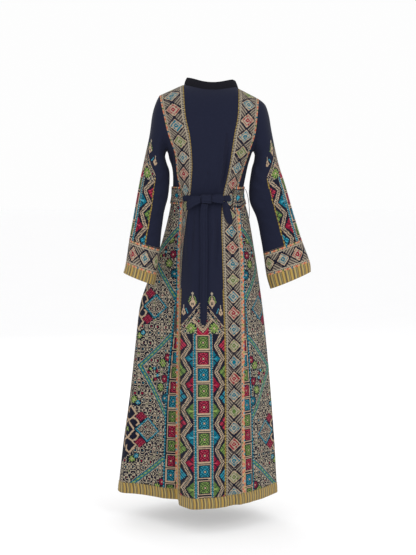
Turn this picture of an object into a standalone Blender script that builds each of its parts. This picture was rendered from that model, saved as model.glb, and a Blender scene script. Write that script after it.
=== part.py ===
"""A long embroidered dress, hollow as it is worn, built panel by panel.

The front faces -Y and the wearer's left is +X. Z is zero at the neck point of the shoulder seam.
Each panel is a wall of cloth cut from one shared surface, so neighbours meet at a narrow seam gap.
"""
import math
from collections import namedtuple

import bmesh
import bpy
from mathutils import Vector

# Driving sizes in metres
WALL = 0.002
SEAM = 0.0003
YOKE_Z = -0.11
NECK_Z = -0.006
NECK_HALF = 0.090
SHOULDER_SLOPE = 0.48
SHOULDER_TILT = 0.035
SHOULDER_Y = 0.004
BACK_NECK_ANGLE = 60.0
FRONT_NECK_ANGLE = 28.0
NECK_CURVE = 2.2
COLLAR_HEIGHT = 0.026
COLLAR_LEAN = 0.010
SIDE_ROUNDING = 0.2
RECESS_START = 0.35
HEM_DROP = 0.007
BELT_OFFSET = 0.0010
BELT_FOLDS = 3
BELT_FOLD_HEIGHT = 0.007
BELT_DIP = 0.020
BELT_START = 1.9
BELT_END = 10.4

# Drops are measured down from the yoke line; the yoke itself rolls over the shoulder from 0 to -1
UNDERARM_DROP = 0.125
BELT_TOP_DROP = 0.238
WAIST_DROP = 0.266
BELT_LOW_DROP = 0.296
HEM_SEAM_DROP = 1.262
HEM_DROP_LINE = 1.298

# One row for each horizontal section: reach of the sides, depth of back and front, squareness
# of the curve, and how far the back of the wearer's left side is folded in behind the centre panel
Section = namedtuple("Section", "z side_l side_r y_l y_r back front power recess")
SECTIONS = [
    Section(-0.110, 0.182, -0.196, 0.000, 0.000, 0.112, 0.098, 2.40, 0.00),
    Section(-0.170, 0.168, -0.182, 0.000, 0.000, 0.114, 0.122, 2.30, 0.00),
    Section(-0.235, 0.140, -0.146, 0.000, 0.000, 0.108, 0.134, 2.20, 0.00),
    Section(-0.310, 0.124, -0.126, 0.000, 0.000, 0.095, 0.120, 2.20, 0.00),
    Section(-0.376, 0.127, -0.118, 0.000, 0.000, 0.084, 0.108, 2.20, 0.04),
    Section(-0.450, 0.140, -0.136, -0.020, 0.000, 0.110, 0.116, 2.10, 0.20),
    Section(-0.560, 0.170, -0.155, -0.045, -0.005, 0.148, 0.118, 2.00, 0.42),
    Section(-0.690, 0.218, -0.175, -0.055, -0.010, 0.178, 0.135, 1.80, 0.52),
    Section(-0.760, 0.240, -0.184, -0.050, -0.010, 0.190, 0.150, 1.70, 0.54),
    Section(-0.900, 0.257, -0.198, -0.040, -0.010, 0.208, 0.175, 1.60, 0.54),
    Section(-1.080, 0.277, -0.213, -0.030, -0.005, 0.226, 0.205, 1.50, 0.54),
    Section(-1.240, 0.299, -0.225, -0.020, 0.000, 0.240, 0.225, 1.45, 0.54),
    Section(-1.410, 0.318, -0.235, -0.010, 0.000, 0.250, 0.245, 1.40, 0.54),
]

# Where the lengthwise seams lie, left and right, as seen from behind and from the front
Seams = namedtuple("Seams", "z gold_l peach_l gold_r peach_r")
BACK_SEAMS = [
    Seams(0.000, 0.086, 0.169, -0.100, -0.169),
    Seams(-0.110, 0.078, 0.152, -0.096, -0.163),
    Seams(-0.170, 0.065, 0.138, -0.085, -0.156),
    Seams(-0.235, 0.058, 0.116, -0.075, -0.136),
    Seams(-0.310, 0.058, 0.108, -0.062, -0.110),
    Seams(-0.376, 0.064, 0.094, -0.048, -0.096),
    Seams(-0.450, 0.075, 0.094, -0.042, -0.100),
    Seams(-0.560, 0.089, 0.101, -0.044, -0.110),
    Seams(-0.690, 0.096, 0.102, -0.048, -0.113),
    Seams(-0.900, 0.100, 0.105, -0.055, -0.114),
    Seams(-1.240, 0.100, 0.107, -0.055, -0.116),
    Seams(-1.410, 0.100, 0.108, -0.054, -0.118),
]
FRONT_SEAMS = [
    Seams(0.000, 0.086, 0.169, -0.100, -0.169),
    Seams(-0.110, 0.078, 0.150, -0.092, -0.160),
    Seams(-0.235, 0.068, 0.122, -0.078, -0.134),
    Seams(-0.376, 0.054, 0.096, -0.056, -0.096),
    Seams(-0.560, 0.068, 0.124, -0.064, -0.116),
    Seams(-0.900, 0.094, 0.156, -0.074, -0.134),
    Seams(-1.410, 0.108, 0.178, -0.084, -0.150),
]

# Soft folds of the skirt: place and half width in columns, and depth as a share of the section
Fold = namedtuple("Fold", "place half_width start_z full_z depth")
FOLDS = [
    Fold(2.45, 0.40, -0.50, -1.10, 0.16),
    Fold(2.80, 0.20, -0.60, -1.20, -0.20),
    Fold(-1.45, 0.40, -0.45, -1.00, 0.05),
    Fold(-2.55, 0.35, -0.50, -1.10, 0.12),
    Fold(3.50, 0.45, -0.45, -1.00, 0.14),
    Fold(4.60, 0.45, -0.42, -0.90, -0.08),
    Fold(5.55, 0.45, -0.42, -0.90, 0.10),
    Fold(-5.50, 0.45, -0.42, -0.95, 0.09),
    Fold(-4.45, 0.50, -0.42, -0.90, -0.07),
    Fold(-3.50, 0.45, -0.50, -1.05, 0.12),
]

# Sleeve sections from armhole to wrist: the edge next to the body, the outer edge, and the depth
Ring = namedtuple("Ring", "in_x in_z out_x out_z y depth")
SLEEVES = {
    "left": [
        Ring(0.1435, -0.2285, 0.182, -0.064, 0.000, 0.070),
        Ring(0.1475, -0.2335, 0.194, -0.105, 0.000, 0.067),
        Ring(0.1495, -0.2520, 0.204, -0.175, 0.000, 0.062),
        Ring(0.1350, -0.3000, 0.220, -0.248, 0.005, 0.058),
        Ring(0.1390, -0.3760, 0.236, -0.325, 0.018, 0.054),
        Ring(0.1520, -0.4300, 0.250, -0.405, 0.036, 0.050),
        Ring(0.1620, -0.5000, 0.261, -0.470, 0.052, 0.048),
        Ring(0.1670, -0.5590, 0.271, -0.526, 0.062, 0.047),
        Ring(0.1770, -0.6450, 0.283, -0.607, 0.068, 0.047),
        Ring(0.1850, -0.6800, 0.291, -0.638, 0.070, 0.047),
    ],
    "right": [
        Ring(-0.1505, -0.2285, -0.192, -0.070, 0.000, 0.074),
        Ring(-0.1545, -0.2335, -0.205, -0.108, 0.000, 0.072),
        Ring(-0.1550, -0.2520, -0.215, -0.165, 0.000, 0.067),
        Ring(-0.1400, -0.3250, -0.236, -0.262, 0.002, 0.060),
        Ring(-0.1390, -0.3950, -0.262, -0.345, 0.008, 0.054),
        Ring(-0.1630, -0.4550, -0.284, -0.422, 0.014, 0.050),
        Ring(-0.1760, -0.5175, -0.302, -0.482, 0.020, 0.047),
        Ring(-0.1860, -0.5760, -0.317, -0.528, 0.024, 0.044),
        Ring(-0.1970, -0.6520, -0.345, -0.604, 0.028, 0.042),
        Ring(-0.2100, -0.6970, -0.349, -0.638, 0.028, 0.042),
    ],
}
CUFF_RING = 7
BINDING_RING = 8
ARMHOLE_SHARE = 148.0
CUFF_SHARE = 100.0
SPACING_RINGS = 5
BLEND_RINGS = 2
BLEND_POWER = 0.6

# Bundled sash pieces: place across, height, lift of the middle off the body, half width, half depth
Stop = namedtuple("Stop", "x z lift half_width half_depth")
BUNDLES = {
    "tie_left": [
        Stop(0.0860, -0.389, 0.0040, 0.0105, 0.0020),
        Stop(0.0760, -0.386, 0.0040, 0.0090, 0.0024),
        Stop(0.0560, -0.385, 0.0042, 0.0085, 0.0026),
        Stop(0.0290, -0.389, 0.0044, 0.0080, 0.0028),
    ],
    "tie_right": [
        Stop(-0.0135, -0.390, 0.0044, 0.0080, 0.0028),
        Stop(-0.0350, -0.388, 0.0042, 0.0085, 0.0026),
        Stop(-0.0560, -0.387, 0.0040, 0.0100, 0.0024),
        Stop(-0.0720, -0.387, 0.0040, 0.0120, 0.0020),
    ],
    "sash_knot": [
        Stop(0.0275, -0.3905, 0.0110, 0.0080, 0.0050),
        Stop(0.0230, -0.3900, 0.0125, 0.0150, 0.0095),
        Stop(0.0080, -0.3910, 0.0135, 0.0155, 0.0105),
        Stop(-0.0070, -0.3900, 0.0125, 0.0150, 0.0095),
        Stop(-0.0120, -0.3905, 0.0110, 0.0080, 0.0050),
    ],
}

# Walls of the sash: the long tail, the short tail and the bow loops, along their middle lines
TAILS = {
    "tail_long": [
        Stop(0.0140, -0.4078, 0.0130, 0.0110, WALL),
        Stop(0.0165, -0.4300, 0.0065, 0.0120, WALL),
        Stop(0.0170, -0.4750, 0.0048, 0.0125, WALL),
        Stop(0.0160, -0.5500, 0.0046, 0.0122, WALL),
        Stop(0.0165, -0.6300, 0.0050, 0.0120, WALL),
        Stop(0.0175, -0.7100, 0.0054, 0.0120, WALL),
        Stop(0.0180, -0.7700, 0.0060, 0.0118, WALL),
        Stop(0.0180, -0.7980, 0.0060, 0.0095, WALL),
        Stop(0.0180, -0.8070, 0.0060, 0.0055, WALL),
    ],
    "tail_short": [
        Stop(-0.0510, -0.3985, 0.0042, 0.0080, WALL),
        Stop(-0.0560, -0.4160, 0.0042, 0.0125, WALL),
        Stop(-0.0620, -0.4420, 0.0042, 0.0135, WALL),
        Stop(-0.0680, -0.4620, 0.0040, 0.0110, WALL),
        Stop(-0.0720, -0.4740, 0.0040, 0.0040, WALL),
    ],
    "bow_loop_left": [
        Stop(0.0264, -0.3920, 0.0206, 0.0110, WALL),
        Stop(0.0420, -0.3960, 0.0235, 0.0160, WALL),
        Stop(0.0560, -0.4040, 0.0230, 0.0195, WALL),
        Stop(0.0650, -0.4100, 0.0195, 0.0180, WALL),
        Stop(0.0655, -0.4100, 0.0160, 0.0175, WALL),
        Stop(0.0560, -0.4040, 0.0140, 0.0170, WALL),
        Stop(0.0420, -0.3980, 0.0140, 0.0140, WALL),
        Stop(0.0300, -0.3950, 0.0150, 0.0090, WALL),
    ],
    "bow_loop_right": [
        Stop(-0.0095, -0.3900, 0.0222, 0.0110, WALL),
        Stop(-0.0240, -0.3905, 0.0225, 0.0140, WALL),
        Stop(-0.0360, -0.3915, 0.0215, 0.0150, WALL),
        Stop(-0.0430, -0.3915, 0.0185, 0.0140, WALL),
        Stop(-0.0430, -0.3915, 0.0150, 0.0140, WALL),
        Stop(-0.0350, -0.3910, 0.0132, 0.0130, WALL),
        Stop(-0.0240, -0.3905, 0.0134, 0.0110, WALL),
        Stop(-0.0150, -0.3900, 0.0142, 0.0080, WALL),
    ],
}
TAIL_SPLITS = 4
BUNDLE_SIDES = 10

# The narrow tape at the wearer's right waist stands a little off the side
TapeStop = namedtuple("TapeStop", "x y z")
SIDE_TAPE = [
    TapeStop(-0.1250, 0.003, -0.3560),
    TapeStop(-0.1290, 0.004, -0.3640),
    TapeStop(-0.1345, 0.006, -0.3850),
    TapeStop(-0.1380, 0.008, -0.4100),
    TapeStop(-0.1395, 0.006, -0.4350),
    TapeStop(-0.1386, 0.004, -0.4580),
]
TAPE_HALF_WIDTH = 0.0035
TAPE_HALF_DEPTH = 0.0008

# Rows of the walls from the shoulder line down, and columns round each panel
YOKE_ROWS = [-1.0, -0.78, -0.53, -0.28, 0.0, 0.06, UNDERARM_DROP]
BODICE_ROWS = [UNDERARM_DROP, 0.160, 0.200, BELT_TOP_DROP, WAIST_DROP]
SKIRT_ROWS = [
    WAIST_DROP, BELT_LOW_DROP, 0.34, 0.39, 0.45, 0.515, 0.58, 0.65, 0.73,
    0.82, 0.91, 1.0, 1.09, 1.18, HEM_SEAM_DROP,
]
HEM_ROWS = [HEM_SEAM_DROP, HEM_DROP_LINE]
BACK_STEPS = 10
FRONT_STEPS = 8
BAND_STEPS = 3
SIDE_STEPS = 6


def spread(first, last, steps):
    """Evenly spaced values, both ends kept."""
    return [first + (last - first) * i / steps for i in range(steps + 1)]


def smooth(t):
    """A soft step from 0 to 1."""
    t = min(max(t, 0.0), 1.0)
    return t * t * (3.0 - 2.0 * t)


def read(table, name, z):
    """Read a column of a table at a height, on a smooth curve through its rows."""
    heights = [row.z for row in table]
    values = [getattr(row, name) for row in table]
    if z >= heights[0]:
        return values[0]
    if z <= heights[-1]:
        return values[-1]
    i = next(k for k in range(len(heights) - 1) if heights[k + 1] <= z)
    span = heights[i + 1] - heights[i]
    t = (z - heights[i]) / span

    def slope(k):
        low = max(k - 1, 0)
        high = min(k + 1, len(values) - 1)
        return (values[high] - values[low]) / (heights[high] - heights[low])

    a = slope(i) * span
    b = slope(i + 1) * span
    rise = values[i + 1] - values[i]
    return values[i] + t * a + t * t * (3 * rise - 2 * a - b) + t ** 3 * (a + b - 2 * rise)


def wrap_column(c):
    """Columns run from -6 to 6 round the body, with 0 at the centre back."""
    return (c + 6.0) % 12.0 - 6.0


def seam_share(x, section_z):
    """Turn a place across the body into a share of its half width, 1 at the left side."""
    left = read(SECTIONS, "side_l", section_z)
    right = read(SECTIONS, "side_r", section_z)
    return min(max((2 * x - left - right) / (left - right), -1.0), 1.0)


def column_angle(c, section_z, seam_z):
    """The angle of a column round the section: 0 at the left side, positive at the back."""
    back = abs(c) <= 3.0
    table = BACK_SEAMS if back else FRONT_SEAMS
    gold_l = math.acos(seam_share(read(table, "gold_l", seam_z), section_z))
    peach_l = math.acos(seam_share(read(table, "peach_l", seam_z), section_z))
    gold_r = math.acos(seam_share(read(table, "gold_r", seam_z), section_z))
    peach_r = math.acos(seam_share(read(table, "peach_r", seam_z), section_z))
    stops = [math.pi, peach_r, gold_r, gold_l, peach_l, 0.0]
    if back:
        marks = [-3.0, -2.0, -1.0, 1.0, 2.0, 3.0]
        place = c
    else:
        marks = [-3.0, -2.0, -1.0, 1.0, 2.0, 3.0]
        place = 6.0 - c if c > 0 else -6.0 - c
    for k in range(5):
        if place <= marks[k + 1] or k == 4:
            t = (place - marks[k]) / (marks[k + 1] - marks[k])
            angle = stops[k] + (stops[k + 1] - stops[k]) * t
            break
    return angle if back else -angle


def fold_share(c, z):
    """How much the soft folds take off the depth of the section here."""
    total = 0.0
    for fold in FOLDS:
        away = abs(wrap_column(c - fold.place)) / fold.half_width
        if away < 1.0:
            grown = smooth((fold.start_z - z) / (fold.start_z - fold.full_z))
            total += fold.depth * grown * (0.5 + 0.5 * math.cos(math.pi * away))
    return total


def section_point(c, section_z, seam_z):
    """A point of the horizontal section, across and along the depth."""
    angle = column_angle(c, section_z, seam_z)
    left = read(SECTIONS, "side_l", section_z)
    right = read(SECTIONS, "side_r", section_z)
    across = math.cos(angle)
    x = (left + right) / 2 + across * (left - right) / 2
    power = read(SECTIONS, "power", section_z)
    edge = max(1.0 - abs(across) ** power, 0.0) ** (1.0 / power)
    depth = (1 - SIDE_ROUNDING) * edge + SIDE_ROUNDING * abs(math.sin(angle))
    y_side = (read(SECTIONS, "y_l", section_z) * (1 + across)
              + read(SECTIONS, "y_r", section_z) * (1 - across)) / 2
    if angle >= 0:
        tuck = smooth((c - RECESS_START) / (2 - RECESS_START))
        share = 1 - read(SECTIONS, "recess", section_z) * tuck - fold_share(c, section_z)
        y = y_side + read(SECTIONS, "back", section_z) * depth * share
    else:
        share = 1 - fold_share(c, section_z)
        y = y_side - read(SECTIONS, "front", section_z) * depth * share
    return x, y


def neck_limit(c):
    """The angle, of 90 degrees, that the yoke reaches over the shoulder in this column."""
    if abs(c) < 1.0:
        lowest = BACK_NECK_ANGLE
        reach = abs(c)
    elif abs(c) > 5.0:
        lowest = FRONT_NECK_ANGLE
        reach = 6.0 - abs(c)
    else:
        return math.radians(90.0)
    return math.radians(lowest + (90.0 - lowest) * reach ** NECK_CURVE)


def body_point(c, drop):
    """A point on the outside of the dress body, from a column and a drop below the yoke line."""
    c = wrap_column(c)
    if drop >= 0:
        z = YOKE_Z - drop
        x, y = section_point(c, z, z)
        back = max(math.sin(column_angle(c, z, z)), 0.0)
        return Vector((x, y, z - HEM_DROP * back * smooth((drop - 0.7) / 0.6)))
    turn = -drop * neck_limit(c)
    x, y_base = section_point(c, YOKE_Z, YOKE_Z * (1 - math.sin(turn)))
    top = NECK_Z - SHOULDER_SLOPE * max(abs(x) - NECK_HALF, 0.0) + SHOULDER_TILT * x
    y = SHOULDER_Y + (y_base - SHOULDER_Y) * math.cos(turn)
    return Vector((x, y, YOKE_Z + (top - YOKE_Z) * math.sin(turn)))


def body_normal(c, drop):
    """The outward direction of the dress body."""
    dc = 0.02
    dd = 0.01
    low = max(drop - dd, -1.0)
    high = min(drop + dd, HEM_DROP_LINE)
    if drop < 0:
        high = min(high, -0.001)
    if abs(c) == 2.0 and drop < UNDERARM_DROP:
        side = -0.02 if c > 0 else 0.02
        around = body_point(c, drop) - body_point(c + side, drop)
        around *= 1.0 if c > 0 else -1.0
    elif abs(c) == 4.0 and drop < UNDERARM_DROP:
        side = 0.02 if c > 0 else -0.02
        around = body_point(c + side, drop) - body_point(c, drop)
        around *= 1.0 if c > 0 else -1.0
    else:
        around = body_point(c + dc, drop) - body_point(c - dc, drop)
    down = body_point(c, high) - body_point(c, low)
    return around.cross(down).normalized()


def offset_point(c, drop, distance):
    """A point lifted off the outside of the body."""
    return body_point(c, drop) + body_normal(c, drop) * distance


def draw_in(rows, closed):
    """Pull the edges of a grid in by half a seam gap."""
    half = SEAM / 2
    grid = [[p.copy() for p in row] for row in rows]
    for j in range(len(rows[0])):
        grid[0][j] += (rows[1][j] - rows[0][j]).normalized() * half
        grid[-1][j] += (rows[-2][j] - rows[-1][j]).normalized() * half
    if not closed:
        for i, row in enumerate(rows):
            grid[i][0] += (row[1] - row[0]).normalized() * half
            grid[i][-1] += (row[-2] - row[-1]).normalized() * half
    return grid


def link(name, mesh, material):
    """Put a finished mesh in the scene as one named sub-part."""
    mesh.materials.append(material)
    part = bpy.data.objects.new(name, mesh)
    bpy.context.collection.objects.link(part)
    mesh.shade_smooth()
    mesh.set_sharp_from_angle(angle=math.radians(40))
    return part


def finish(name, bm, material):
    """Turn a closed shape's faces outwards and hand it to the scene."""
    bmesh.ops.recalc_face_normals(bm, faces=bm.faces)
    if bm.calc_volume(signed=True) < 0:
        bmesh.ops.reverse_faces(bm, faces=bm.faces)
    bmesh.ops.triangulate(bm, faces=bm.faces)
    mesh = bpy.data.meshes.new(name)
    bm.to_mesh(mesh)
    bm.free()
    return link(name, mesh, material)


def wall(name, rows, normals, material, closed=False, thickness=WALL, inset=True):
    """Make a wall of cloth from its outer points, with its thickness inwards."""
    outer = draw_in(rows, closed) if inset else rows
    bm = bmesh.new()
    count = len(rows[0])
    skins = []
    for depth in (0.0, thickness):
        skins.append([
            [bm.verts.new(p - n * depth) for p, n in zip(line, lean)]
            for line, lean in zip(outer, normals)
        ])
    last = count if closed else count - 1
    for skin, turned in ((skins[0], False), (skins[1], True)):
        for i in range(len(rows) - 1):
            for j in range(last):
                k = (j + 1) % count
                a, b, c, d = skin[i][j], skin[i][k], skin[i + 1][k], skin[i + 1][j]
                if turned:
                    bm.faces.new((a, c, b))
                    bm.faces.new((a, d, c))
                else:
                    bm.faces.new((a, b, c))
                    bm.faces.new((a, c, d))
    top, under = skins
    for j in range(last):
        k = (j + 1) % count
        bm.faces.new((top[0][k], top[0][j], under[0][j], under[0][k]))
        bm.faces.new((top[-1][j], top[-1][k], under[-1][k], under[-1][j]))
    if not closed:
        for i in range(len(rows) - 1):
            bm.faces.new((top[i][0], top[i + 1][0], under[i + 1][0], under[i][0]))
            bm.faces.new((top[i + 1][-1], top[i][-1], under[i][-1], under[i + 1][-1]))
    return finish(name, bm, material)


def body_panel(name, columns, drops, material):
    """A panel of the dress body between two columns and two drops."""
    rows = [[body_point(c, d) for c in columns] for d in drops]
    normals = [[body_normal(c, d) for c in columns] for d in drops]
    return wall(name, rows, normals, material)


def armhole(sign):
    """The armhole edge, from the shoulder down the back and up the front."""
    back = [(sign * 2.0, d) for d in YOKE_ROWS]
    under = [(sign * c, UNDERARM_DROP) for c in spread(2.0, 4.0, 2 * SIDE_STEPS)[1:-1]]
    front = [(sign * 4.0, d) for d in reversed(YOKE_ROWS)][:-1]
    return back + under + front


def ring_angles(k, count):
    """Where the points of a sleeve ring lie round it, drawn from the armhole's spacing to an even one."""
    back_share = ARMHOLE_SHARE + (CUFF_SHARE - ARMHOLE_SHARE) * smooth(k / SPACING_RINGS)
    back_count = len(YOKE_ROWS) - 1
    under_count = 2 * SIDE_STEPS
    angles = []
    for i in range(count):
        if i <= back_count:
            turn = back_share * i / back_count
        elif i <= back_count + under_count:
            turn = back_share + (360 - 2 * back_share) * (i - back_count) / under_count
        else:
            turn = 360 - back_share * (count - i) / back_count
        angles.append(math.radians(turn))
    return angles


def sleeve_grid(side):
    """Outer points of a sleeve with its cuff, ring by ring, and the outward directions."""
    sign = 1.0 if side == "left" else -1.0
    edge = armhole(sign)
    count = len(edge)
    first = [body_point(c, d) for c, d in edge]
    rows = [first]
    for k, ring in enumerate(SLEEVES[side]):
        angles = ring_angles(k, count)
        inner = Vector((ring.in_x, 0, ring.in_z))
        outer = Vector((ring.out_x, 0, ring.out_z))
        middle = (inner + outer) / 2 + Vector((0, ring.y, 0))
        half = (outer - inner) / 2
        line = [middle + half * math.cos(a) + Vector((0, ring.depth * math.sin(a), 0)) for a in angles]
        if k < BLEND_RINGS:
            share = ((k + 1) / (BLEND_RINGS + 1)) ** BLEND_POWER
            reach = [line[i] - first[i] for i in range(count)]
            line = [first[i] + reach[i] * (share + (1 - share) * abs(math.cos(angles[i])) ** 2)
                    for i in range(count)]
        rows.append(line)
    normals = grid_normals(rows, -sign)
    normals[0] = [body_normal(c, d) for c, d in edge]
    normals[1] = [(a + b).normalized() for a, b in zip(normals[0], normals[1])]
    return rows, normals


def grid_normals(rows, sign):
    """Outward directions of a grid that closes round on itself."""
    count = len(rows[0])
    result = []
    for i in range(len(rows)):
        line = []
        above = rows[max(i - 1, 0)]
        below = rows[min(i + 1, len(rows) - 1)]
        for j in range(count):
            around = rows[i][(j + 1) % count] - rows[i][j - 1]
            along = below[j] - above[j]
            line.append((around.cross(along) * sign).normalized())
        result.append(line)
    return result


def paint(name, colour, roughness):
    """A plain material for a kind of cloth."""
    material = bpy.data.materials.new(name)
    material.use_nodes = True
    shader = material.node_tree.nodes["Principled BSDF"]
    shader.inputs["Base Color"].default_value = (*colour, 1.0)
    shader.inputs["Roughness"].default_value = roughness
    shader.inputs["Metallic"].default_value = 0.0
    return material


def make_body(navy, cloth, striped):
    """The panels of the body from shoulder to hem."""
    full = YOKE_ROWS + BODICE_ROWS[1:] + SKIRT_ROWS[1:]
    body_panel("back_centre", spread(-1.0, 1.0, BACK_STEPS), full, navy)
    body_panel("front_centre", spread(5.0, 7.0, FRONT_STEPS), full, navy)
    for side, sign in (("left", 1.0), ("right", -1.0)):
        back = spread(sign * 1.0, sign * 2.0, BAND_STEPS)
        front = spread(sign * 4.0, sign * 5.0, BAND_STEPS)
        body_panel("back_band_" + side, back, full, cloth)
        body_panel("front_band_" + side, front, full, cloth)
        under = spread(sign * 2.0, sign * 4.0, 2 * SIDE_STEPS)
        body_panel("bodice_side_" + side, under, BODICE_ROWS, navy)
        body_panel("skirt_side_back_" + side, spread(sign * 2.0, sign * 3.0, SIDE_STEPS), SKIRT_ROWS, cloth)
        body_panel("skirt_side_front_" + side, spread(sign * 3.0, sign * 4.0, SIDE_STEPS), SKIRT_ROWS, cloth)
    back_hem = (spread(-3.0, -2.0, SIDE_STEPS) + spread(-2.0, -1.0, BAND_STEPS)[1:]
                + spread(-1.0, 1.0, BACK_STEPS)[1:] + spread(1.0, 2.0, BAND_STEPS)[1:]
                + spread(2.0, 3.0, SIDE_STEPS)[1:])
    front_hem = (spread(3.0, 4.0, SIDE_STEPS) + spread(4.0, 5.0, BAND_STEPS)[1:]
                 + spread(5.0, 7.0, FRONT_STEPS)[1:] + spread(7.0, 8.0, BAND_STEPS)[1:]
                 + spread(8.0, 9.0, SIDE_STEPS)[1:])
    body_panel("hem_binding_back", back_hem, HEM_ROWS, striped)
    body_panel("hem_binding_front", front_hem, HEM_ROWS, striped)


def make_sleeves(navy, cloth, striped):
    """Both sleeves, each with its embroidered cuff and striped binding."""
    for side in SLEEVES:
        rows, normals = sleeve_grid(side)
        spans = (
            ("sleeve_", 0, CUFF_RING + 1, navy),
            ("cuff_", CUFF_RING + 1, BINDING_RING + 1, cloth),
            ("cuff_binding_", BINDING_RING + 1, len(rows) - 1, striped),
        )
        for prefix, first, last, material in spans:
            wall(prefix + side, rows[first:last + 1], normals[first:last + 1], material, closed=True)


def make_collar(dark):
    """A low stand collar round the neckline."""
    loop = spread(-1.0, 1.0, BACK_STEPS)[:-1] + spread(5.0, 7.0, FRONT_STEPS)[:-1]
    base = [body_point(c, -1.0) for c in loop]
    lean = [body_normal(c, -1.0) for c in loop]
    middle = sum(base, Vector()) / len(base)
    rows = [base]
    for share in (0.5, 1.0):
        line = []
        for p in base:
            inward = Vector((middle.x - p.x, middle.y - p.y, 0)).normalized()
            line.append(p + Vector((0, 0, COLLAR_HEIGHT * share)) + inward * COLLAR_LEAN * share)
        rows.append(line)
    normals = grid_normals(rows, -1.0)
    normals[0] = lean
    wall("collar", rows, normals, dark, closed=True)


def column_at(x, z):
    """The column of the back that passes through a place across the body, by halving."""
    low, high = -3.0, 3.0
    for _ in range(30):
        middle = (low + high) / 2
        if section_point(middle, z, z)[0] < x:
            low = middle
        else:
            high = middle
    return (low + high) / 2


def over_body(stop):
    """The middle of a sash section and the outward direction of the body under it."""
    c = column_at(stop.x, stop.z)
    drop = YOKE_Z - stop.z
    normal = body_normal(c, drop)
    return body_point(c, drop) + normal * stop.lift, normal


def make_belt(cloth):
    """The embroidered belt round the front and sides, bunched where its ties begin."""
    columns = ([BELT_START] + spread(2.0, 3.0, SIDE_STEPS) + spread(3.0, 4.0, SIDE_STEPS)[1:]
               + spread(4.0, 5.0, BAND_STEPS)[1:] + spread(5.0, 7.0, FRONT_STEPS)[1:]
               + spread(7.0, 8.0, BAND_STEPS)[1:] + spread(8.0, 10.0, 2 * SIDE_STEPS)[1:] + [BELT_END])
    rows = []
    normals = []
    for share in spread(0.0, 1.0, 2 * BELT_FOLDS):
        line = []
        lean = []
        for c in columns:
            bunch = smooth((2.9 - c) / 0.9) * 0.6 + smooth((c - 8.9) / 1.2)
            low = BELT_LOW_DROP + BELT_DIP * smooth((c - 9.0) / 1.3)
            drop = BELT_TOP_DROP + (low - BELT_TOP_DROP) * share
            fold = 0.5 - 0.5 * math.cos(2 * math.pi * BELT_FOLDS * share)
            lift = BELT_OFFSET + WALL + bunch * fold * BELT_FOLD_HEIGHT
            line.append(offset_point(c, drop, lift))
            lean.append(body_normal(c, drop))
        rows.append(line)
        normals.append(lean)
    wall("belt", rows, normals, cloth)


def make_bundle(name, stops, material):
    """A bundle of folded sash cloth along the body, closed at both ends."""
    placed = [over_body(stop) for stop in stops]
    bm = bmesh.new()
    loops = []
    for i, stop in enumerate(stops):
        middle, normal = placed[i]
        along = (placed[min(i + 1, len(stops) - 1)][0] - placed[max(i - 1, 0)][0]).normalized()
        across = normal.cross(along).normalized()
        loop = []
        for k in range(BUNDLE_SIDES):
            turn = 2 * math.pi * k / BUNDLE_SIDES
            reach = across * math.cos(turn) * stop.half_width + normal * math.sin(turn) * stop.half_depth
            loop.append(bm.verts.new(middle + reach))
        loops.append(loop)
    for first, second in zip(loops, loops[1:]):
        for k in range(BUNDLE_SIDES):
            n = (k + 1) % BUNDLE_SIDES
            bm.faces.new((first[k], first[n], second[n], second[k]))
    bm.faces.new(loops[0])
    bm.faces.new(loops[-1])
    finish(name, bm, material)


def make_tail(name, stops, material):
    """A band of sash cloth along its middle line, a wall with its own width at each stop."""
    placed = [over_body(stop) for stop in stops]
    rows = []
    normals = []
    for i, stop in enumerate(stops):
        middle, outward = placed[i]
        along = (placed[min(i + 1, len(stops) - 1)][0] - placed[max(i - 1, 0)][0]).normalized()
        down = outward.cross(along)
        if name.startswith("bow"):
            down = (outward * outward.z - Vector((0, 0, 1))).normalized()
        face = along.cross(down).normalized()
        if name == "bow_loop_right":
            face = -face
        rows.append([middle + down * stop.half_width * share for share in spread(-1.0, 1.0, TAIL_SPLITS)])
        normals.append([face] * (TAIL_SPLITS + 1))
    wall(name, rows, normals, material, inset=False)


def make_tape(material):
    """The narrow tape that stands off the wearer's right side."""
    bm = bmesh.new()
    loops = []
    points = [Vector((stop.x, stop.y, stop.z)) for stop in SIDE_TAPE]
    for i, p in enumerate(points):
        along = (points[min(i + 1, len(points) - 1)] - points[max(i - 1, 0)]).normalized()
        across = Vector((0, 1, 0))
        face = along.cross(across).normalized()
        corners = ((-1, -1), (1, -1), (1, 1), (-1, 1))
        loops.append([
            bm.verts.new(p + across * TAPE_HALF_WIDTH * a + face * TAPE_HALF_DEPTH * b) for a, b in corners
        ])
    for first, second in zip(loops, loops[1:]):
        for k in range(4):
            n = (k + 1) % 4
            bm.faces.new((first[k], first[n], second[n], second[k]))
    bm.faces.new(loops[0])
    bm.faces.new(loops[-1])
    finish("side_tape", bm, material)


def make_sash(navy, cloth):
    """The belt and the tied sash at the back waist."""
    make_belt(cloth)
    for name, stops in BUNDLES.items():
        make_bundle(name, stops, navy)
    for name, stops in TAILS.items():
        make_tail(name, stops, navy)
    make_tape(navy)


def build():
    """Clear the scene and make every sub-part."""
    for old in list(bpy.data.objects):
        bpy.data.objects.remove(old)
    navy = paint("navy_crepe", (0.022, 0.025, 0.045), 0.8)
    cloth = paint("embroidered_cloth", (0.18, 0.14, 0.10), 0.85)
    striped = paint("striped_binding", (0.32, 0.24, 0.08), 0.7)
    dark = paint("collar_cloth", (0.010, 0.010, 0.014), 0.85)
    make_body(navy, cloth, striped)
    make_sleeves(navy, cloth, striped)
    make_collar(dark)
    make_sash(navy, cloth)


build()
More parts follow.
